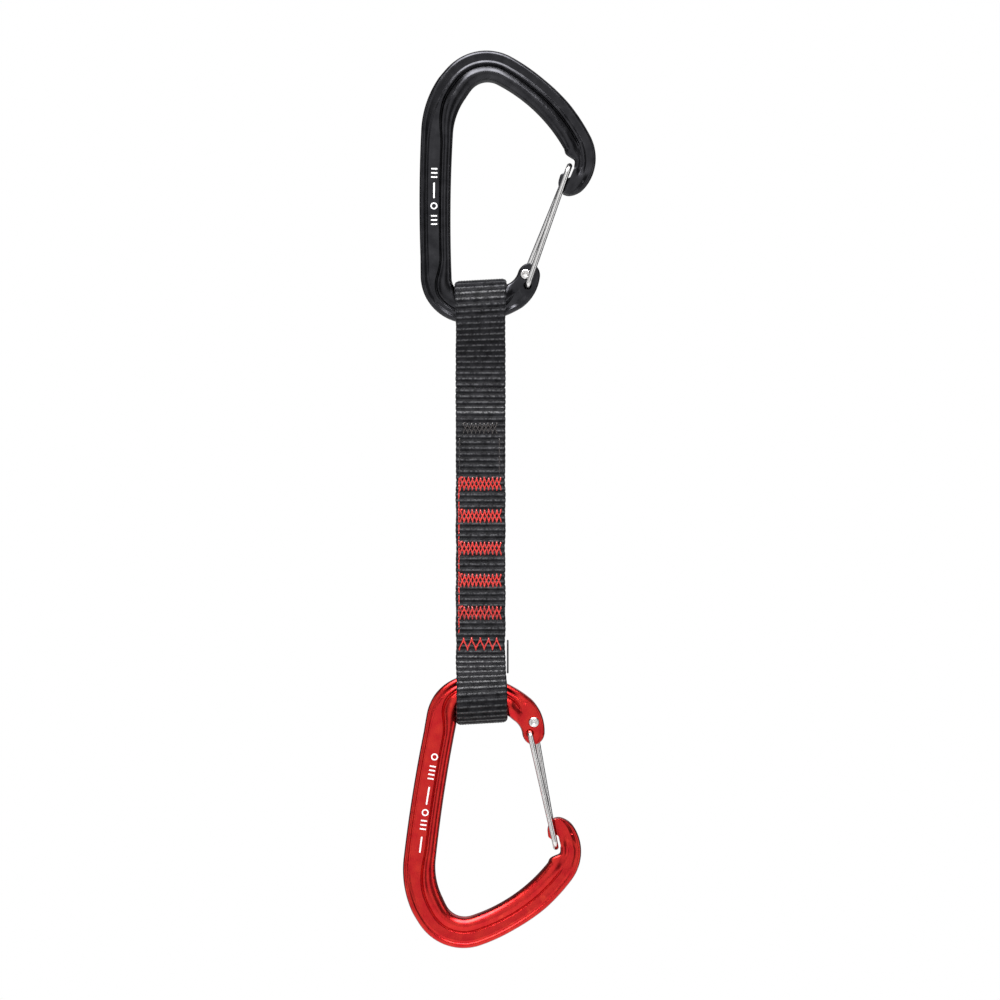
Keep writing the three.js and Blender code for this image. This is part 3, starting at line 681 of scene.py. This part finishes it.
def cut_away(piece, cutter_shapes):
    """Cuts shapes out of a piece and keeps its smooth shading."""
    for points, faces in cutter_shapes:
        cutter = mesh_piece("cutter", points, faces, black_finish)
        modifier = piece.modifiers.new("cut", "BOOLEAN")
        modifier.operation = "DIFFERENCE"
        modifier.solver = "EXACT"
        modifier.object = cutter
        evaluated = piece.evaluated_get(bpy.context.evaluated_depsgraph_get())
        cut_mesh = bpy.data.meshes.new_from_object(evaluated)
        piece.modifiers.clear()
        piece.data = cut_mesh
        bpy.data.objects.remove(cutter)
    piece.data.shade_smooth()
    piece.data.set_sharp_from_angle(angle=math.radians(40))


BOTTOM_TILT = math.radians(9.33)
BOTTOM_CROWN = np.array([-9.5, -302.2])


def hang_top(points):
    """The top carabiner's own frame is the object's."""
    return points


def hang_bottom(points):
    """From a carabiner's own frame to the bottom one's place: turned over, and leaning."""
    x, y, z = points[:, 0], points[:, 1], points[:, 2]
    return np.column_stack([
        BOTTOM_CROWN[0] + x * math.cos(BOTTOM_TILT) - z * math.sin(BOTTOM_TILT),
        -y,
        BOTTOM_CROWN[1] - x * math.sin(BOTTOM_TILT) - z * math.cos(BOTTOM_TILT),
    ])


def carabiner_body(prefix, hang, finish):
    stations = int(round(FRAME_LENGTH / STATION_SPACING))
    rings = eye_cap_rings()
    rings += [frame_ring(FRAME_LENGTH * i / stations) for i in range(stations + 1)]
    rings += nose_rings()
    points = np.concatenate(rings)
    faces = loft_faces(len(rings), len(rings[0]))
    piece = mesh_piece(prefix + "_carabiner_frame", points, faces, finish)
    back_sink = [(-y, radius) for y, radius in HEAD_SINK]
    cut_away(piece, [
        revolved_cutter(EYE_HOLE_BACK, HEAD_SINK),
        revolved_cutter(EYE_HOLE_FRONT, back_sink),
        revolved_cutter(NOSE_PIT, NOSE_PIT_PROFILE),
        revolved_cutter(NOSE_PIT, [(-y, radius) for y, radius in NOSE_PIT_PROFILE]),
        slot_cutter(*HOOK_SLOT, HOOK_SLOT_RADIUS, 6),
    ])
    place = np.array([v.co for v in piece.data.vertices]) / MM
    piece.data.vertices.foreach_set("co", (hang(place) * MM).ravel())
    piece.data.update()
    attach(piece, prefix + "_carabiner")
    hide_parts(prefix + "_carabiner_body")
    return piece


# ---------- Gate wire ----------

HEAD_PROFILE = [
    (2.05, 1.0), (2.2, 1.4), (2.3, 1.76), (2.5, 1.86), (2.76, 1.8), (2.92, 1.6), (2.98, 1.3), (2.92, 1.05),
    (2.35, 0.8), (2.14, 0.4), (2.12, 0.03),
]
LEG_CLEAR_SHARE = 0.16  # of a leg's length runs beside the eye before it closes in
BLEND_SPAN = (3.8, 14.0)  # along the gate, where the real legs flex as it opens; these places are worked out but not used
WIRE_SIDES = 24


def gate_point(along, y):
    return np.array([
        GATE_PIVOT[0] + math.sin(GATE_LEAN) * along,
        y,
        GATE_PIVOT[1] + math.cos(GATE_LEAN) * along,
    ])


def leg_path(hole, side):
    """One leg, from inside its hole to the start of the closed end's bend."""
    foot = np.array([hole[0], side * GATE_LEG_SPREAD, hole[1]])
    bend_start = gate_point(GATE_LENGTH - GATE_BEND_RADIUS, side * GATE_BEND_RADIUS)
    clear = foot + (bend_start - foot) * LEG_CLEAR_SHARE
    clear[1] = foot[1]
    inside = np.array([hole[0], -side * 2.0, hole[1]])
    return rounded_path([inside, foot, clear, bend_start], (1.7, 4.0), 10)


def wire_rings(path):
    """The wire's rings, with a riveted head grown from each end ring."""
    tube = sweep_rings(path, [WIRE_RADIUS] * len(path), WIRE_SIDES).reshape(len(path), WIRE_SIDES, 3)
    rings = list(tube)
    for at_start in (True, False):
        end = rings[0] if at_start else rings[-1]
        centre = end.mean(axis=0)
        outward = np.sign(centre[1])
        for depth, radius in HEAD_PROFILE:
            grown = centre + (end - centre) * radius / WIRE_RADIUS
            grown[:, 1] = outward * depth
            if at_start:
                rings.insert(0, grown)
            else:
                rings.append(grown)
    return rings


def gate_wire(prefix, hang):
    bend = []
    for k in range(1, 24):
        angle = math.pi * k / 24
        reach = GATE_LENGTH - GATE_BEND_RADIUS + GATE_BEND_RADIUS * math.sin(angle)
        bend.append(gate_point(reach, -GATE_BEND_RADIUS * math.cos(angle)))
    front, back = leg_path(EYE_HOLE_FRONT, -1), leg_path(EYE_HOLE_BACK, 1)
    rings = wire_rings(resample(np.concatenate([front, bend, back[::-1]]), 0.4))
    faces = loft_faces(len(rings), WIRE_SIDES)
    points = hang(np.concatenate(rings))
    piece = mesh_piece(prefix + "_gate", points, faces, wire_finish, 50)
    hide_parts(prefix + "_gate_wire")
    start, end = hang(np.array([gate_point(along, 0) for along in BLEND_SPAN])) * MM
    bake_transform(piece)
    return piece


for prefix, hang, finish, slot in (
    ("top", hang_top, black_finish, "black_anodised"),
    ("bottom", hang_bottom, red_finish, "red_anodised"),
):
    carabiner_body(prefix, hang, finish)
    gate_wire(prefix, hang)

# ---------- Webbing ----------

WEB_WIDTH = 17.8
WEB_THICKNESS = 1.9
WEB_MIDDLE_X = -2.9
SEWN_SHIFT = -0.4  # moves the sewing with the webbing, off the frame's thread nodes
PLY_PITCH = 2.1
FORK_Z = -206.5
TOP_AXIS_Z = joint_at["sling_swing"][2]
BOTTOM_AXIS_Z = joint_at["bottom_carabiner_swing"][2]
TOP_OUTER_RADIUS = 8.8
BOTTOM_OUTER_RADIUS = 10.1
SEAM_Z = -110.65  # where the neck's plies are told apart from the lower ones, in a rib's valley
SEAM_GAP = 0.05
PARTING = (-117.6, -120.8)
TRIPLE_START_Z = -121.5
TAIL_END_Z = -207.0
TOP_TILT = math.radians(3.1)
BOTTOM_TILT_IN_LOOP = math.radians(3.4)
BOTTOM_SHIFT = 0.5
ROW_SPACING = 0.3
COLUMN_COUNT = 62
SELVEDGE = 0.75
LOOP_CORNER = 1.1
CORNER_FULLNESS = 0.96  # below 1, so that the corner ends short of upright
LOOP_SPREAD = 0.04  # a loop flattens wider over its bar
SPREAD_FROM = -8.0  # beyond the bar's axis, where the spread begins
SPREAD_FULL = 0.6  # of the outer radius, where it is full
RIB_HEIGHT = 0.3
PRESSED_REACH = 0.2  # from the middle line to the face pressed flat on a bar
PRESSED_FADE = 3.5
FLOAT_HEIGHT = 0.07
SCALLOP = 0.2
RIB_FULLNESS = 0.6
RIB_VALLEY = 0.55
TACK_SPREAD = 2.4
TACK_NARROWING = 0.12
TACK_SINK = 0.08
TACK_ROWS = [-125.4] + [-145.5 - 11.65 * i for i in range(5)] + [-203.4]


def ease_line(start, end, steps=24):
    """A smooth S from one point to another, leaving and arriving along Z."""
    share = np.linspace(0, 1, steps + 1)
    blend = (1 - np.cos(math.pi * share)) / 2
    y = start[0] + (end[0] - start[0]) * blend
    z = start[1] + (end[1] - start[1]) * share
    return np.column_stack([y, z])


def loop_line(axis_z, outer_radius, upwards, start, end):
    """The middle line of a loop: in from one point, round its bar, and out to another."""
    radius = outer_radius - WEB_THICKNESS / 2
    side = math.copysign(1, end[0] - start[0])
    angles = np.linspace(0, math.pi, 49)[1:-1]
    bend = np.column_stack([-side * radius * np.cos(angles), axis_z + upwards * radius * np.sin(angles)])
    into = ease_line(start, (-side * radius, axis_z))
    out = ease_line((side * radius, axis_z), end)
    return np.concatenate([into, bend, out])


def strap(name, line, settle, bar_z, loop_radius):
    """A ribbed strip of webbing along a middle line of (y, z) points."""
    path = resample(line, ROW_SPACING)
    tangent = np.gradient(path, axis=0)
    tangent /= np.linalg.norm(tangent, axis=1)[:, None]
    normal = np.column_stack([-tangent[:, 1], tangent[:, 0]])
    length = np.linalg.norm(np.diff(path, axis=0), axis=1).sum()
    along = np.linspace(0, length, len(path))
    pitch = length / round(length / RIB_PITCH)
    rib_place = along / pitch
    crest = np.abs(np.sin(math.pi * rib_place)) ** RIB_FULLNESS - RIB_VALLEY
    parity = np.where(np.floor(rib_place) % 2 < 1, 0.0, math.pi)
    tacks = sum(np.exp(-((path[:, 1] - z) / TACK_SPREAD) ** 2) for z in TACK_ROWS)
    wave = 0.09 * np.sin(along / 5.3 + len(name)) + 0.05 * np.sin(along / 1.9)
    half = WEB_WIDTH / 2 + SCALLOP * crest - TACK_NARROWING * tacks + wave

    share = np.sin(np.linspace(-0.5, 0.5, COLUMN_COUNT) * math.pi * 0.94) / math.sin(0.47 * math.pi)
    share = 0.35 * share + 0.65 * np.linspace(-1, 1, COLUMN_COUNT)
    across = share[None, :] * half[:, None]
    edge = np.clip((np.abs(across) - (half[:, None] - SELVEDGE)) / SELVEDGE, 0, 1)
    rounding = np.sqrt(np.clip(1 - edge ** 2, 0, 1))
    floats = FLOAT_HEIGHT * np.cos(2 * math.pi * across / YARN_PITCH + parity[:, None])
    ribs = (RIB_HEIGHT * crest - TACK_SINK * tacks)[:, None]
    swell = ribs + floats * np.clip(crest + RIB_VALLEY, 0, 1)[:, None]
    reach = (WEB_THICKNESS / 2 - 0.04 + swell) * rounding
    from_bar = path - np.array([0, bar_z])
    on_bar = 1 - smoothstep(loop_radius, loop_radius + PRESSED_FADE, np.linalg.norm(from_bar, axis=1))
    outward = np.sign((normal * from_bar).sum(axis=1))

    def face(side, columns):
        pressed = np.where(side * outward < 0, on_bar, 0)[:, None]
        offset = side * (reach[:, columns] * (1 - pressed) + PRESSED_REACH * rounding[:, columns] * pressed)
        x = WEB_MIDDLE_X + across[:, columns]
        y = path[:, :1] + offset * normal[:, :1]
        z = path[:, 1:] + offset * normal[:, 1:]
        return np.stack([x, y, z], axis=2)

    rings = np.concatenate([face(1, slice(None)), face(-1, slice(-2, 0, -1))], axis=1)
    ring_size = rings.shape[1]
    points = settle(rings.reshape(-1, 3))
    piece = mesh_piece(name, points, loft_faces(len(path), ring_size), web_finish)
    weave = piece.data.attributes.new("weave", "FLOAT_VECTOR", "POINT")
    across_ring = np.concatenate([across, across[:, -2:0:-1]], axis=1)
    along_ring = np.repeat(along * RIB_PITCH / pitch, ring_size)
    values = np.column_stack([along_ring, across_ring.ravel(), np.zeros(len(points))])
    weave.data.foreach_set("vector", values.ravel())
    return piece


def settled(axis_z, outer_radius, fade_from_z, tilt, shift):
    """Tilts a loop's end on its bar, shifts it, and rounds its outer corners."""
    upwards = math.copysign(1, axis_z - fade_from_z)

    def settle(points):
        x, y, z = points.T.copy()
        fade = smoothstep(0, 1, (z - fade_from_z) / (axis_z - fade_from_z))
        beyond = (z - axis_z) * upwards
        spread = 1 + LOOP_SPREAD * smoothstep(SPREAD_FROM, outer_radius * SPREAD_FULL, beyond)
        x = WEB_MIDDLE_X + (x - WEB_MIDDLE_X) * spread
        into_corner = np.clip((beyond - outer_radius) / LOOP_CORNER + 1, 0, 1)
        narrowed = LOOP_CORNER * (1 - np.sqrt(1 - CORNER_FULLNESS * into_corner ** 2))
        x = WEB_MIDDLE_X + (x - WEB_MIDDLE_X) * (1 - narrowed / WEB_WIDTH * 2)
        z = z + math.tan(tilt) * (x - WEB_MIDDLE_X) * fade
        return np.column_stack([x + shift * fade, y, z])

    return settle


settle_top = settled(TOP_AXIS_Z, TOP_OUTER_RADIUS, -107.0, TOP_TILT, 0)
settle_bottom = settled(BOTTOM_AXIS_Z, BOTTOM_OUTER_RADIUS, FORK_Z, BOTTOM_TILT_IN_LOOP, BOTTOM_SHIFT)

half_pitch = PLY_PITCH / 2
neck_end = SEAM_Z + SEAM_GAP
front_neck, back_neck = (-half_pitch, -107.0), (half_pitch, -107.0)
top_line = np.concatenate([
    [(-half_pitch, neck_end)],
    loop_line(TOP_AXIS_Z, TOP_OUTER_RADIUS, 1, front_neck, back_neck),
    [(half_pitch, neck_end)],
])
upper_strap = strap("webbing_upper", top_line, settle_top, TOP_AXIS_Z, TOP_OUTER_RADIUS)
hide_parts("webbing_top_loop", "webbing_neck_front_ply", "webbing_neck_back_ply")
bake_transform(upper_strap)

lower_top = SEAM_Z - SEAM_GAP
main_line = np.concatenate([
    [(-half_pitch, lower_top)],
    ease_line((-half_pitch, PARTING[0]), (-PLY_PITCH, PARTING[1]), 8),
    loop_line(BOTTOM_AXIS_Z, BOTTOM_OUTER_RADIUS, -1, (-PLY_PITCH, FORK_Z), (0, FORK_Z)),
    [(0, TRIPLE_START_Z)],
])
tail_line = np.concatenate([
    [(half_pitch, lower_top)],
    ease_line((half_pitch, PARTING[0]), (PLY_PITCH, PARTING[1]), 8),
    [(PLY_PITCH, TAIL_END_Z)],
])
for name, line, node in (
    ("webbing_lower", main_line, "webbing_main_ply"),
    ("webbing_tail", tail_line, "webbing_tail_ply"),
):
    piece = strap(name, line, settle_bottom, BOTTOM_AXIS_Z, BOTTOM_OUTER_RADIUS)
    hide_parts(node)
    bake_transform(piece)

# ---------- Rubber keeper ----------

KEEPER_SADDLE_RADIUS = 8.6
KEEPER_CLEARANCE = WEB_THICKNESS / 2 + 0.3
KEEPER_EDGE = 0.45
LIP_X = (6.6, 7.25)
LIP_TOP_Z = -202.0


def keeper_outline():
    """The keeper's side view as (y, z) points: its two walls, and the saddle on the bar."""
    depth = FORK_Z - BOTTOM_AXIS_Z
    wall_reach = BOTTOM_OUTER_RADIUS - WEB_THICKNESS / 2
    front, back = [], []
    for share in np.linspace(0.16, 0.44, 12):
        blend = (1 - math.cos(math.pi * share)) / 2
        slant = math.hypot(1, wall_reach * math.pi * math.sin(math.pi * share) / 2 / depth)
        z = FORK_Z - depth * share
        front.append((-PLY_PITCH - (wall_reach - PLY_PITCH) * blend + KEEPER_CLEARANCE * slant, z))
        back.append((wall_reach * blend - KEEPER_CLEARANCE * slant, z))
    across = np.linspace(front[-1][0], back[-1][0], 14)[1:-1]
    saddle = [(y, BOTTOM_AXIS_Z + math.sqrt(KEEPER_SADDLE_RADIUS ** 2 - y * y)) for y in across]
    return np.array(front + saddle + back[::-1])


def lip_outline():
    """The lip that shows past the right edge: up beside the plies, and down to the bar."""
    body = keeper_outline()
    foot = body[:, 1].min()
    corners = [(0, LIP_TOP_Z), (-2.9, LIP_TOP_Z), (-3.1, -206), (-4.6, foot), (0, foot + 0.3), (4.2, foot),
               (3.0, -206), (2.7, LIP_TOP_Z), (0, LIP_TOP_Z)]
    return rounded_path(corners, (1.1, 2.5, 1.0, 3.0, 1.0, 2.5, 1.1), 6)[:-1]


def bevelled_slab(outline, left, right, edge):
    """An outline drawn in (y, z), pulled through along X with its edges rounded."""
    centre = outline.mean(axis=0)
    rings = []
    for x, inset in ((left, edge), (left + 0.3 * edge, 0.3 * edge), (left + edge, 0), (right - edge, 0),
                     (right - 0.3 * edge, 0.3 * edge), (right, edge)):
        away = outline - centre
        shrink = 1 - inset / np.maximum(np.linalg.norm(away, axis=1), edge * 2)[:, None]
        ring = centre + away * shrink
        rings.append(np.column_stack([np.full(len(ring), x), ring]))
    return np.concatenate(rings), loft_faces(len(rings), len(outline))


web_left, web_right = WEB_MIDDLE_X - WEB_WIDTH / 2, WEB_MIDDLE_X + WEB_WIDTH / 2
keeper_points, keeper_faces = bevelled_slab(keeper_outline(), web_left, web_right, KEEPER_EDGE)
keeper_points = settle_bottom(keeper_points)
keeper = mesh_piece("rubber_keeper_body", keeper_points, keeper_faces, rubber_finish, 50)
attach(keeper, "sling_lower")
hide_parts("rubber_keeper")
lip_points, lip_faces = bevelled_slab(lip_outline(), *LIP_X, 0.25)
lip = mesh_piece("rubber_keeper_lip", lip_points, lip_faces, rubber_finish, 50)
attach(lip, "sling_lower")

# ---------- Stitching ----------

STITCH_INSET = 0.35
THREAD_RADIUS = 0.25
THREAD_LOBES = 0.26
THREAD_TWIST_PITCH = 1.5
THREAD_SIDES = 8
THREAD_STEP = 0.22
FACE_Y = PLY_PITCH + WEB_THICKNESS / 2  # from the sling's middle plane to its face
TACK_HALF_PITCH = 1.43
EDGE_SINK = 0.24
# How a stitch rises from one needle hole and sinks into the next: share of its length, and
# height as a multiple of its lift over the webbing.
STITCH_RISE = (
    (0, -2.6), (0.03, -0.4), (0.12, 0.9), (0.3, 1.2), (0.5, 1.4), (0.7, 1.2), (0.88, 0.9), (0.97, -0.4),
)


def jitter(size):
    return dice.uniform(-size, size)


def stitch(start, end, side, sink):
    """One stitch as (x, y, z) points: up out of its hole, over, and down again."""
    start, end = np.array(start), np.array(end)
    lift = 0.12 + jitter(0.04)
    points = []
    for share, height in STITCH_RISE:
        x = start[0] + (end[0] - start[0]) * smoothstep(0.05, 0.95, share)
        z = start[1] + (end[1] - start[1]) * share
        points.append((x, side * (FACE_Y + height * lift - sink), z))
    return points


def sewn(name, runs, side, finish, node, sink):
    """Threads that run through lists of needle holes, drawn down into the webbing by sink."""
    points, faces = [], []
    for holes in runs:
        line = []
        for start, end in zip(holes, holes[1:]):
            line += stitch(start, end, side, sink)
        line.append((holes[-1][0], side * (FACE_Y - 0.42), holes[-1][1]))
        path = resample(line, THREAD_STEP)
        radii = [THREAD_RADIUS] * len(path)
        rings = sweep_rings(path, radii, THREAD_SIDES, THREAD_LOBES, THREAD_TWIST_PITCH)
        faces += loft_faces(len(path), THREAD_SIDES, sum(len(p) for p in points))
        points.append(rings)
    piece = mesh_piece(name, np.concatenate(points), faces, finish)
    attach(piece, "sling_lower")
    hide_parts(node)


def zigzag_holes(left, right, top, bottom, half_pitch, first_up):
    """Needle holes that step between two levels, from left to right."""
    count = int(round((right - left) / half_pitch))
    stride = (right - left) / count
    holes = []
    for i in range(count + 1):
        level = top if (i % 2 == 0) == first_up else bottom
        holes.append((left + stride * i + jitter(0.09), level + jitter(0.14)))
    return holes


def running_holes(x, top, bottom, stitch_length):
    count = int(round((top - bottom) / stitch_length))
    return [(x + jitter(0.06), top - (top - bottom) * i / count + jitter(0.1)) for i in range(count + 1)]


def thread_span(node):
    low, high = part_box(node)
    left, right = low.x / MM + SEWN_SHIFT, high.x / MM + SEWN_SHIFT
    return left, right, high.z / MM - STITCH_INSET, low.z / MM + STITCH_INSET


for seam, slot, finish, kind in (
    [("dark_bartack", "black_thread", black_thread, "tack")]
    + [(f"red_bartack_{i}", "red_thread", red_thread, "tack") for i in range(1, 6)]
    + [("red_zigzag", "red_thread", red_thread, "zigzag")]
    + [("red_edge_stitch", "red_thread", red_thread, "run")]
    + [(f"black_edge_stitch_{side}", "black_thread", black_thread, "run") for side in ("left", "right")]
):
    for thread, side in (("needle", -1), ("bobbin", 1)):
        node = f"{seam}_{thread}_thread"
        left, right, top, bottom = thread_span(node)
        if kind == "tack":
            runs = [
                zigzag_holes(left, right, top, bottom, TACK_HALF_PITCH, True),
                zigzag_holes(left, right, top, bottom, TACK_HALF_PITCH, False),
            ]
            runs.append([(left + 0.1, top - 0.1), (left + 0.75, top + 0.12), (left + 0.2, top - 0.5)])
        elif kind == "zigzag":
            runs = [zigzag_holes(left, right, top, bottom, TACK_HALF_PITCH, False)]
        else:
            runs = [running_holes((left + right) / 2, top, bottom, 2.9)]
        sewn(f"{seam}_{thread}", runs, side, finish, node, EDGE_SINK if kind == "run" else 0)

# ---------- Printed marks ----------

INK_HEIGHT = 0.07
INK_DEPTH = 0.15


def panel_point(distance, across, height, side):
    """A point on a spine panel: along the frame, in from its outer edge, above its middle plane."""
    outer, inner = edges_at(distance, half_width_at(distance))
    direction = (inner - outer) / np.linalg.norm(inner - outer)
    x, z = outer + direction * across
    return x, side * height, z


def ink_band(first_edge, second_edge, closed):
    """The outline of one printed stroke between two edges of (distance, across) points."""
    return np.array(first_edge), np.array(second_edge), closed


def ink_ring(distance, across, radius, width):
    angles = np.linspace(0, 2 * math.pi, 37)[:-1]
    circle = np.column_stack([np.cos(angles), np.sin(angles)])
    middle = np.array([distance, across])
    return ink_band(middle + circle * radius, middle + circle * (radius - width), True)


def ink_bar(start, end, width):
    start, end = np.array(start, float), np.array(end, float)
    count = max(2, int(np.linalg.norm(end - start) / 0.8) + 2)
    line = start + np.linspace(0, 1, count)[:, None] * (end - start)
    direction = (end - start) / np.linalg.norm(end - start)
    offset = np.array([-direction[1], direction[0]]) * width / 2
    return ink_band(line + offset, line - offset, False)


def ink_marks(name, hang, side, height, strokes, body):
    points, faces = [], []
    for first_edge, second_edge, closed in strokes:
        base, count = len(points), len(first_edge)
        for a, b in zip(first_edge, second_edge):
            for spot, level in ((a, -INK_DEPTH), (a, INK_HEIGHT), (b, INK_HEIGHT), (b, -INK_DEPTH)):
                points.append(panel_point(*spot, height + level, side))
        for i in range(count if closed else count - 1):
            here, there = base + 4 * i, base + 4 * ((i + 1) % count)
            faces += [(here + j, here + (j + 1) % 4, there + (j + 1) % 4, there + j) for j in range(4)]
        if not closed:
            faces.append(tuple(base + j for j in (3, 2, 1, 0)))
            faces.append(tuple(base + 4 * (count - 1) + j for j in range(4)))
    piece = mesh_piece(name, hang(np.array(points)), faces, ink_finish, 40)
    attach(piece, body)


def tick_row(start, across, count, spacing, height, width):
    low, high = across - height / 2, across + height / 2
    places = [start + spacing * i for i in range(count)]
    return [ink_bar((place, low), (place, high), width) for place in places]


BLACK_MARKS = (
    tick_row(64.0, 5.3, 3, 1.5, 2.2, 0.5)
    + [ink_ring(70.6, 5.3, 1.25, 0.45), ink_bar((73.4, 5.3), (79.0, 5.3), 0.55)]
    + tick_row(81.0, 5.3, 3, 1.5, 2.2, 0.5)
)
RED_MARKS = (
    [ink_ring(60.0, 5.6, 1.25, 0.45)]
    + tick_row(63.5, 5.6, 4, 1.5, 2.2, 0.5)
    + [ink_bar((71.0, 5.6), (77.5, 5.6), 0.55), ink_ring(80.4, 5.6, 1.25, 0.45)]
    + tick_row(83.4, 5.6, 3, 1.5, 2.2, 0.5)
    + [ink_bar((89.2, 5.6), (95.0, 5.6), 0.55)]
)
PANEL_HEIGHT = 3.2
ink_marks("black_spine_marks", hang_top, -1, PANEL_HEIGHT, BLACK_MARKS, "top_carabiner")
ink_marks("red_spine_marks", hang_bottom, 1, PANEL_HEIGHT, RED_MARKS, "bottom_carabiner")

# ---------- Light and floor ----------


def softbox(name, place, size, radiance, tint=(1, 1, 1)):
    """An area light of a given size in metres, aimed at the middle of the object."""
    data = bpy.data.lights.new(name, "AREA")
    data.shape = "RECTANGLE"
    data.size, data.size_y = size
    data.energy = radiance * math.pi * size[0] * size[1]
    data.color = tint
    light = bpy.data.objects.new(name, data)
    bpy.context.scene.collection.objects.link(light)
    light.location = object_middle + Vector(place)
    light.rotation_euler = (-Vector(place)).to_track_quat("-Z", "Y").to_euler()
    light.visible_camera = False
    return light


softbox("front_fill", (-0.3, -2.4, 0.3), (2.4, 2.0), 0.8)
softbox("key_above", (-0.1, -0.95, 1.3), (1.5, 0.95), 14.0)
softbox("left_edge", (-1.5, -0.75, 0.1), (0.6, 1.6), 1.1)
softbox("right_edge", (1.5, -0.75, 0.1), (0.6, 1.6), 1.25)
softbox("back_fill", (0.4, 2.2, 1.2), (2.0, 1.4), 0.5)

world = bpy.data.worlds.new("studio")
bpy.context.scene.world = world
world.use_nodes = True
world_nodes = world.node_tree.nodes
world_links = world.node_tree.links
REFLECTED_TONE = (0.1, 0.1, 0.105, 1)
SEEN_TONE = (1, 1, 1, 1)
backdrop = world_nodes.new("ShaderNodeMix")
backdrop.data_type = "RGBA"
backdrop.inputs[6].default_value = REFLECTED_TONE
backdrop.inputs[7].default_value = SEEN_TONE
path_kind = world_nodes.new("ShaderNodeLightPath")
world_links.new(path_kind.outputs["Is Camera Ray"], backdrop.inputs["Factor"])
world_links.new(backdrop.outputs[2], world_nodes["Background"].inputs["Color"])

FLOOR_DROP = 0.75
FLOOR_RADIUS = 3.0
FLOOR_SIDES = 96
floor_turns = [2 * math.pi * k / FLOOR_SIDES for k in range(FLOOR_SIDES)]
floor_shape = [(FLOOR_RADIUS * math.cos(turn), FLOOR_RADIUS * math.sin(turn), 0) for turn in floor_turns]
floor_mesh = bpy.data.meshes.new("floor")
floor_mesh.from_pydata(floor_shape, [], [tuple(range(FLOOR_SIDES))])
floor = bpy.data.objects.new("floor", floor_mesh)
bpy.context.scene.collection.objects.link(floor)
floor.location = object_middle - Vector((0, 0, FLOOR_DROP))
floor_shading = Shading("pale_floor", Base_Color=(0.82, 0.82, 0.82, 1), Roughness=0.8)
floor_mesh.materials.append(floor_shading.material)

bpy.context.scene.view_settings.view_transform = "Standard"
